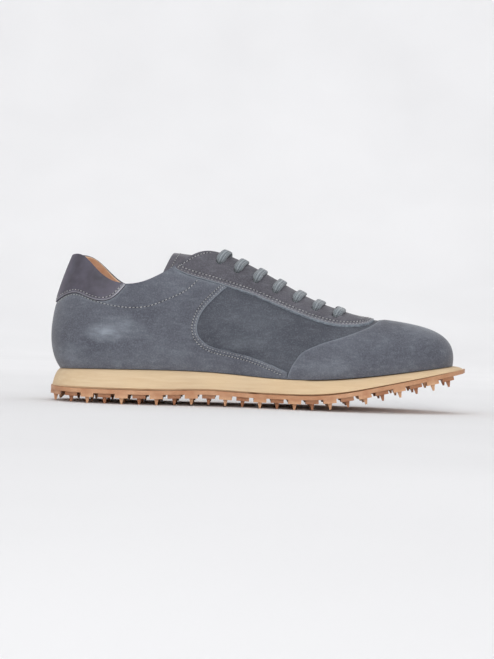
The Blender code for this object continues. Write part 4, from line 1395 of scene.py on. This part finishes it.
@dataclass
class Quarter(Panel):
    """The rear panel, from its curved front edge on one side round the heel to the other.

    Columns stand upright up to a rear gap short of the front edges and fan out from there. Each end of
    another panel's edge has columns of its own, a step apart and clear of the rest.
    """

    name: str = "quarter_leather"
    node: str = "quarter"
    foot_share: float = 0.07
    margin: float = 0.004
    columns: int = 210
    levels: int = 40
    level_step: float = 0.007
    fan: int = 46
    rear_gap: float = 1.5
    stop_step: float = 0.25
    stop_clear: float = 0.5
    row_insets: tuple[float, float] = (1.4, 3.4)
    row_start: int = 2
    front_points: int = 44
    collar_points: int = 46
    short: Stitch = Stitch(pitch=2.1, length=1.35, lean_deg=18.0)
    buried: Stitch = Stitch(pitch=2.1, length=1.15, width=0.44, shows_hole_shade=False)

    def __post_init__(self) -> None:
        """Reads the front edges."""
        self.fronts = {side: self.front_of(side) for side in Side}

    def ceiling(self, u: Array) -> Array:
        """Highest v of the panel: under the tab, at the collar, or under the eyestay."""
        top = np.where(self.last.tab.holds(u), self.last.tab.v(u) - self.margin, 1.0)
        ahead = np.where(u < self.last.tab.first, u + self.last.length, u)
        return np.where(self.last.stay.holds(ahead), self.last.stay.v(ahead) - self.margin, top)

    def front_of(self, side: Side) -> tuple[Array, Array]:
        """The front edge on one side.

        Args:
            side: Side of the shoe.

        Returns:
            Levels from 0 at the foot to 1 at the ceiling, and u at each.
        """
        places = self.last.edge(evenly(QUARTER_EDGE, self.front_points), side)
        front = places[:, 0] if side is Side.MEDIAL else places[:, 0] - self.last.length
        level = places[:, 1] / self.ceiling(front)
        level[0] = 1.0
        level = np.minimum.accumulate(np.append(level, 0.0))
        front = np.append(front, front[-1])
        return level[::-1], front[::-1]

    def upright(self, first: float, last: float) -> Array:
        """u of the upright columns, with those at the ends of the tab and the eyestay."""
        tab, stay, step = self.last.tab, self.last.stay, self.stop_step
        stay_end = stay.last - self.last.length
        stops = [stay_end, stay_end + step, tab.first - step, tab.first, tab.last, tab.last + step,
                 stay.first - step, stay.first]
        u = np.linspace(first, last, self.columns)
        apart = np.abs(u[:, None] - np.array(stops)[None, :]).min(axis=1)
        u = np.sort(np.append(u[apart > self.stop_clear], stops))
        return u[(u >= first) & (u <= last)]

    def grid(self) -> tuple[Array, Array]:
        """Columns round the heel, then fanned out to the front edges."""
        level = self.fronts[Side.MEDIAL][0]
        share = np.unique(np.round(np.concatenate([level, np.linspace(0.0, 1.0, self.levels)]), 3))
        share = share[np.append(True, np.diff(share) > self.level_step)]
        share[-1] = 1.0
        medial, lateral = (np.interp(share, *self.fronts[side]) for side in Side)
        last = medial.min() - self.rear_gap
        first = lateral.max() + self.rear_gap
        fan = np.linspace(0.0, 1.0, self.fan)[1:, None]
        ahead = last + (medial - last)[None, :] * fan
        behind = first + (lateral - first)[None, :] * fan[::-1]
        middle = np.repeat(self.upright(first, last)[:, None], len(share), axis=1)
        u = np.vstack([behind, middle, ahead])
        return u, share[None, :] * self.ceiling(u)

    def rows(self) -> list[StitchRow]:
        """Two rows along each front edge, and one below the collar on each side."""
        rows = []
        for side in Side:
            level, front = (values[self.row_start:] for values in self.fronts[side])
            v = level * self.ceiling(front)
            rows += [StitchRow(front, v, inset, stitch)
                     for inset, stitch in zip(self.row_insets, (self.buried, self.short))]
            places = self.last.edge(evenly(COLLAR_ROW, self.collar_points), side)
            rows.append(StitchRow(places[:, 0], places[:, 1], 0.0))
        return rows


@dataclass
class ToePanel(Panel):
    """The plain front panel below the toe seam."""

    name: str = "toe_leather"
    node: str = "toe_panel"
    skive: float = 0.6
    wear_width: float = 0.8
    margin: float = 0.004
    columns: int = 230
    levels: int = 46
    rise_points: int = 16

    def grid(self) -> tuple[Array, Array]:
        """From the foot to the toe seam, between the places where it rises on the two sides."""
        edge = self.last.seam(TOE_SEAM, TOE_SEAM_NOSE_X)
        share = np.linspace(0.0, 1.0, self.levels)
        start, end = (self.rise(side, share) for side in Side)
        u = start[None, :] + (end - start)[None, :] * np.linspace(0.0, 1.0, self.columns)[:, None]
        return u, share[None, :] * (edge.v(u) - self.margin)

    def rise(self, side: Side, share: Array) -> Array:
        """u of the seam as it rises from the foot, at shares of its height."""
        u, v = self.last.edge(evenly(TOE_SEAM_RISE, self.rise_points), side).T
        return np.interp(share, v / v[-1], u)


@dataclass
class Tongue:
    """The leather sheet under the facings, with a row of stitches round its free end.

    The seam gives half its width, x and z from the middle out.
    """

    last: Last
    node: Piece
    seam: tuple[Triple, ...] = ((0.0, 90.6, 109.6), (12.6, 89.0, 106.8), (22.0, 84.8, 96.8))
    row_points: int = 60

    def build(self) -> list[Piece]:
        """Makes the tongue from its solid."""
        made = Bench.copy_node(self.node, "tongue_leather")
        Bench.soften(made, sharp_deg=60.0, crease=0.9)
        Bench.coat(made, FACING)
        Bench.smooth(made)
        Bench.hand_over(made, "nubuck", "tongue")
        medial, lateral = ([(x, self.last.throat_y + side * y, z) for y, x, z in self.seam]
                           for side in Side)
        line = evenly(np.array(medial[:0:-1] + lateral), self.row_points)
        return [made, Stitcher(made).sew("tongue_stitches", [Stitch()], [line])]


@dataclass
class Sole:
    """Insole, midsole and outsole, softened from their solids.

    The band and the studs that stand back from the edge are marked for painted shade; studs come in rows
    with a pitch along the shoe.
    """

    nodes: dict[str, Piece]
    first_stud_x: float = 6.4
    stud_pitch: float = 12.05
    stud_round: float = 0.2
    flat_deg: float = 0.6
    band_reach: float = 3.7
    band_shade: float = 0.4
    seat_gap: float = 0.3

    def build(self) -> list[Piece]:
        """Makes the three layers of the sole."""
        insole = Bench.copy_node(self.nodes["insole"], "insole_leather")
        Bench.soften(insole, sharp_deg=50.0, crease=0.85)
        Bench.coat(insole, INSOLE)
        Bench.smooth(insole)
        midsole = Bench.copy_node(self.nodes["midsole"], "midsole_foam")
        self.seat(midsole)
        Bench.soften(midsole, sharp_deg=30.0, crease=0.9)
        Bench.coat(midsole, FOAM)
        Bench.smooth(midsole, angle_deg=30.0)
        outsole = self.outsole()
        return [Bench.hand_over(insole, "tan_leather", "insole"),
                Bench.hand_over(midsole, "midsole_foam", "midsole"),
                Bench.hand_over(outsole, "gum_rubber", "outsole")]

    def seat(self, midsole: Piece) -> None:
        """Lowers the midsole's underside on to the outsole, where the solids keep a gap."""
        tree = BVHTree.FromObject(self.nodes["outsole"], bpy.context.evaluated_depsgraph_get())
        for vertex in midsole.data.vertices:
            if tree.find_nearest(vertex.co, 2 * self.seat_gap * MM)[0] is not None:
                vertex.co.z -= self.seat_gap * MM

    def outsole(self) -> Piece:
        """The studded sheet with its moulded edges rounded."""
        made = Bench.copy_node(self.nodes["outsole"], "outsole_rubber")
        Bench.edit(made, lambda: bpy.ops.mesh.dissolve_limited(angle_limit=math.radians(self.flat_deg)))
        Bench.round_edges(made, self.stud_round, angle_deg=32.0)
        self.paint_recess_shade(made)
        Bench.coat(made, GUM)
        Bench.smooth(made, angle_deg=35.0)
        return made

    def paint_recess_shade(self, outsole: Piece) -> None:
        """Marks painted shade on the band under the midsole, and on the studs of every second row, which
        stand back in its shadow.
        """
        tree = BVHTree.FromObject(self.nodes["midsole"], bpy.context.evaluated_depsgraph_get())
        store = outsole.data.attributes.new("recess_shade", "FLOAT", "POINT")
        for vertex, mark in zip(outsole.data.vertices, store.data):
            row = round(((vertex.co.x / MM + ROW_ORIGIN[0]) - self.first_stud_x) / self.stud_pitch)
            above = tree.ray_cast(vertex.co, Vector((0.0, 0.0, 1.0)))[3]
            # Painted shade: the band next to the midsole is darkened a little, the set-back studs under it
            # more
            if tree.find_nearest(vertex.co)[3] < self.band_reach * MM:
                mark.value = self.band_shade
            elif row % 2 == 1 and above is not None:
                mark.value = 1.0


@dataclass
class Strand:
    """A stretch of lace: points of its middle line, with the direction and size of its width at each."""

    points: list[Array]
    across: list[Array]
    widths: list[float]

    def __add__(self, other: Strand) -> Strand:
        """This stretch with another after it."""
        return Strand(self.points + other.points, self.across + other.across, self.widths + other.widths)


@dataclass
class Lace:
    """One flat lace through the eyelets: bars over the throat, runs under it, and two short ends.

    A share is 0 at an eyelet and 1 at the facing's edge. The lace leaves an eyelet at its entry share,
    narrowed to a neck, and lies on the facing from its mouth on. Over, inside and under are depths. An
    end bends and stops past the edge, given as millimetres inwards and down.
    """

    last: Last
    width: float = 6.6
    thickness: float = 2.2
    under_width: float = 4.2
    neck: float = 4.8
    mouth: float = 6.9
    mouth_share: float = 0.18
    entry_share: float = 0.1
    middle_share: float = 0.5
    bridge: Triple = (0.2, 0.5, 0.8)
    over: float = -2.1
    under: float = 4.4
    lean: float = 4.8
    bar_lift: float = 0.01
    under_lift: float = 0.06
    end_rise: float = 1.2
    end_bend: tuple[float, float] = (2.6, 0.4)
    end_tip: tuple[float, float] = (3.8, 3.4)
    step: float = 0.7
    around: int = 18
    flatness: tuple[float, float] = (0.6, 0.8)
    edge_points: int = 200

    def __post_init__(self) -> None:
        """Finds the eyelets and the facing's edge beside each."""
        self.inside = (self.over + self.under) / 2
        self.places = {side: self.last.edge(EYELETS, side) for side in Side}
        self.edges = {side: [self.edge_u(x + self.lean, side) for x, _ in EYELETS] for side in Side}

    def edge_u(self, x: float, side: Side) -> float:
        """u of the facing's edge at this x."""
        knot = self.last.knot
        u = np.linspace(knot["facing_rear", side], knot["toe", side], self.edge_points)
        seen = self.last.surface(u, np.ones_like(u))[:, 0]
        return float(np.interp(x, seen, u))

    def facing(self, pair: int, side: int, depth: float, share: float) -> Array:
        """A point over or under the facing, from the eyelet at 0 to the edge at 1."""
        u, v = self.places[side][pair]
        return self.last.point(u + (self.edges[side][pair] - u) * share, v + (1.0 - v) * share, depth)

    def crossing(self, pair: int, depth: float, lift: float) -> Array:
        """Points from the medial to the lateral eyelet of one pair, lifted over the throat."""
        near, far = (self.facing(pair, side, depth, 1.0) for side in Side)
        rise = np.array([0.0, 0.0, lift * np.linalg.norm(far - near)])
        bridge = [near + (far - near) * s + rise * 4 * s * (1 - s) for s in self.bridge]
        start = self.mouth_share if depth < 0.0 else self.entry_share
        medial, lateral = ([self.facing(pair, side, depth, s) for s in (start, self.middle_share)]
                           for side in Side)
        return np.array([*medial, near, *bridge, far, *lateral[::-1]])

    def along(self, pair: int) -> Array:
        """Direction of the throat at one pair, towards the heel."""
        after, before = (self.facing(k, Side.MEDIAL, 0.0, 1.0)
                         for k in (min(pair + 1, TOP_PAIR), max(pair - 1, 0)))
        ahead = after - before
        ahead[1] = 0.0
        return unit(ahead)

    def end(self, side: Side) -> Strand:
        """The short end from a top eyelet over the facing, tucked down behind its edge."""
        arch = self.over - self.end_rise
        edge = self.facing(TOP_PAIR, side, arch, 1.0)
        inward = unit(self.facing(TOP_PAIR, -side, arch, 1.0) - edge)
        points = [self.facing(TOP_PAIR, side, self.over, self.mouth_share),
                  self.facing(TOP_PAIR, side, arch, self.middle_share), edge]
        points += [edge + inward * past - np.array([0.0, 0.0, below])
                   for past, below in (self.end_bend, self.end_tip)]
        widths = [self.mouth] + [self.width] * (len(points) - 1)
        return Strand(points, [self.along(TOP_PAIR)] * len(points), widths)

    def start(self, pair: int, side: Side) -> Strand:
        """The lace where it comes up through an eyelet."""
        points = [self.facing(pair, side, depth, self.entry_share) for depth in (self.under, self.inside)]
        return Strand(points, [self.along(pair)] * 2, [self.neck] * 2)

    def bar(self, pair: int) -> Strand:
        """A bar over the throat to the lateral eyelet, and the run under it to the next medial one."""
        over = [*self.crossing(pair, self.over, self.bar_lift),
                self.facing(pair, Side.LATERAL, self.inside, self.entry_share)]
        here, ahead = (self.crossing(k, self.under, self.under_lift)[::-1] for k in (pair, pair + 1))
        share = np.linspace(0.0, 1.0, len(here))[:, None]
        below = [*(here + (ahead - here) * share)]
        up = self.facing(pair + 1, Side.MEDIAL, self.inside, self.entry_share)
        across = [self.along(pair)] * len(over + below) + [self.along(pair + 1)]
        widths = [self.mouth, *[self.width] * (len(over) - 3), self.mouth, self.neck]
        narrow = [self.neck, self.neck, self.under_width]
        widths += [*narrow, *[self.width] * len(self.bridge), *narrow[::-1], self.neck]
        return Strand([*over, *below, up], across, widths)

    def route(self) -> Strand:
        """The whole lace from its first eyelet to its medial end."""
        lace = self.start(0, Side.MEDIAL)
        for pair in range(TOP_PAIR):
            lace = lace + self.bar(pair)
        return lace + self.end(Side.MEDIAL)

    def tube(self, name: str, strand: Strand) -> Piece:
        """A flat rounded tube along a stretch of lace.

        Args:
            name: Name of the piece.
            strand: The stretch.

        Returns:
            The piece, closed at both ends.
        """
        path, across = np.array(strand.points), np.array(strand.across)
        run = run_of(path)
        at = np.linspace(0.0, run[-1], int(run[-1] / self.step))
        line = smooth_through(run, path)(at)
        wide = np.stack([np.interp(at, run, across[:, k]) for k in range(3)], axis=1)
        breadth = np.interp(at, run, strand.widths)
        heading = unit(np.gradient(line, axis=0))
        wide = unit(wide - heading * (wide * heading).sum(axis=1)[:, None])
        thick = np.cross(heading, wide)
        turn = np.linspace(0.0, 2 * np.pi, self.around + 1)
        flat = squared_off(np.cos(turn), self.flatness[0])
        deep = squared_off(np.sin(turn), self.flatness[1])
        rings = (line[:, None] + wide[:, None] * (breadth[:, None] / 2 * flat)[..., None]
                 + thick[:, None] * (self.thickness / 2 * deep)[None, :, None])
        made = Bench.sheet(name, rings, tube=True)
        Bench.edit(made,
                   lambda: bpy.ops.mesh.remove_doubles(threshold=SHEET_MERGE),
                   lambda: bpy.ops.mesh.fill_holes(sides=0),
                   lambda: bpy.ops.mesh.normals_make_consistent(inside=False))
        Bench.coat(made, COTTON)
        Bench.smooth(made, angle_deg=60.0)
        return made

    def build(self) -> list[Piece]:
        """Makes the lace and its other end."""
        lace = self.tube("flat_lace", self.route())
        other = self.tube("flat_lace_end", self.start(TOP_PAIR, Side.LATERAL) + self.end(Side.LATERAL))
        return [Bench.hand_over(lace, "lace_cotton", "laces"),
                Bench.hand_over(other, "lace_cotton", "lace_end")]


@dataclass(frozen=True)
class Lamp:
    """A soft square light: where it hangs and points and its side, in metres, and its power in watts."""

    name: str
    place: Triple
    aim: Triple
    size: float
    watts: float

    def hang(self) -> None:
        """Puts the light in the scene."""
        lamp = bpy.data.lights.new(self.name, "AREA")
        lamp.size = self.size
        lamp.energy = self.watts
        hung = bpy.data.objects.new(self.name, lamp)
        hung.visible_camera = False
        hung.location = self.place
        hung.rotation_euler = (Vector(self.aim) - Vector(self.place)).to_track_quat("-Z", "Y").to_euler()
        bpy.context.scene.collection.objects.link(hung)


LAMPS = (
    Lamp("key", (-0.6, -1.2, 1.4), (0.0, 0.0, 0.05), 1.0, 3.4),
    Lamp("top", (0.1, 0.2, 1.8), (0.0, 0.0, 0.0), 1.4, 5.0),
    Lamp("front", (0.1, -2.75, 0.85), (0.0, 0.0, 0.03), 0.7, 25.0),
    Lamp("wall", (0.0, 1.0, 2.0), (0.0, 3.0, 0.9), 1.6, 16.0),
)


@dataclass
class Studio:
    """Pale paper sweep, soft lights and the camera."""

    floor_radius: float = 1700.0
    floor_hole: float = 1.0
    cove_radius: float = 1500.0
    wall_height: float = 2400.0
    rings: int = 14
    around: int = 96
    air: str = "#f4f4f5"
    air_strength: float = 0.75
    camera_from: Triple = (140.2, -1200.0, 55.0)
    roll_deg: float = 2.0
    frame_height_px: int = 659
    mm_per_px: float = 0.72
    sensor: float = 36.0
    clip: tuple[float, float] = (0.01, 20.0)

    def build(self) -> None:
        """Sets the sweep, the lights, the world and the camera."""
        self.sweep()
        for lamp in LAMPS:
            lamp.hang()
        world = bpy.data.worlds.new("studio_air")
        world.use_nodes = True
        ground = world.node_tree.nodes["Background"]
        ground.inputs["Color"].default_value = linear(self.air)
        ground.inputs["Strength"].default_value = self.air_strength
        bpy.context.scene.world = world
        bpy.context.scene.view_settings.view_transform = "Standard"
        self.camera()

    def sweep(self) -> None:
        """A round floor that curves up into a wall."""
        bend = np.linspace(0.0, math.pi / 2, self.rings)[1:]
        radius = np.concatenate([np.linspace(self.floor_hole, self.floor_radius, self.rings),
                                 self.floor_radius + self.cove_radius * np.sin(bend),
                                 [self.floor_radius + self.cove_radius]])
        height = np.concatenate([np.zeros(self.rings), self.cove_radius * (1 - np.cos(bend)),
                                 [self.wall_height]])
        turn = np.linspace(2 * np.pi, 0.0, self.around + 1)[:, None]
        points = np.stack(np.broadcast_arrays(radius * np.cos(turn), radius * np.sin(turn), height), axis=-1)
        paper = Bench.sheet("paper_sweep", points + ROW_ORIGIN, closed=True)
        Bench.coat(paper, PAPER)
        Bench.smooth(paper, angle_deg=80.0)

    def camera(self) -> None:
        """The photograph's view, square to the shoe's medial side and rolled a little."""
        eye = bpy.data.cameras.new("view")
        eye.sensor_width = self.sensor
        eye.lens = self.sensor * -self.camera_from[1] / (self.frame_height_px * self.mm_per_px)
        eye.clip_start, eye.clip_end = self.clip
        held = bpy.data.objects.new("view", eye)
        turn = math.radians(self.roll_deg)
        right = Vector((math.cos(turn), 0.0, math.sin(turn)))
        up = Vector((-math.sin(turn), 0.0, math.cos(turn)))
        frame = Matrix((right, up, right.cross(up))).transposed().to_4x4()
        frame.translation = Vector(to_row(np.array(self.camera_from)))
        held.matrix_world = frame
        bpy.context.scene.collection.objects.link(held)
        bpy.context.scene.camera = held


def main() -> None:
    """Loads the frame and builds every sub-assembly."""
    logging.basicConfig(level=logging.INFO, format="%(message)s")
    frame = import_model()
    Studio().build()
    last = Last()
    for part in (Shell(last), Quarter(last), ToePanel(last), Eyestay(last), HeelTab(last),
                 Tongue(last, frame["nodes"]["tongue"]), Sole(frame["nodes"]), Lace(last)):
        pieces = part.build()
        LOG.info("%s made %d pieces", type(part).__name__, len(pieces))


if __name__ == "__main__":
    main()
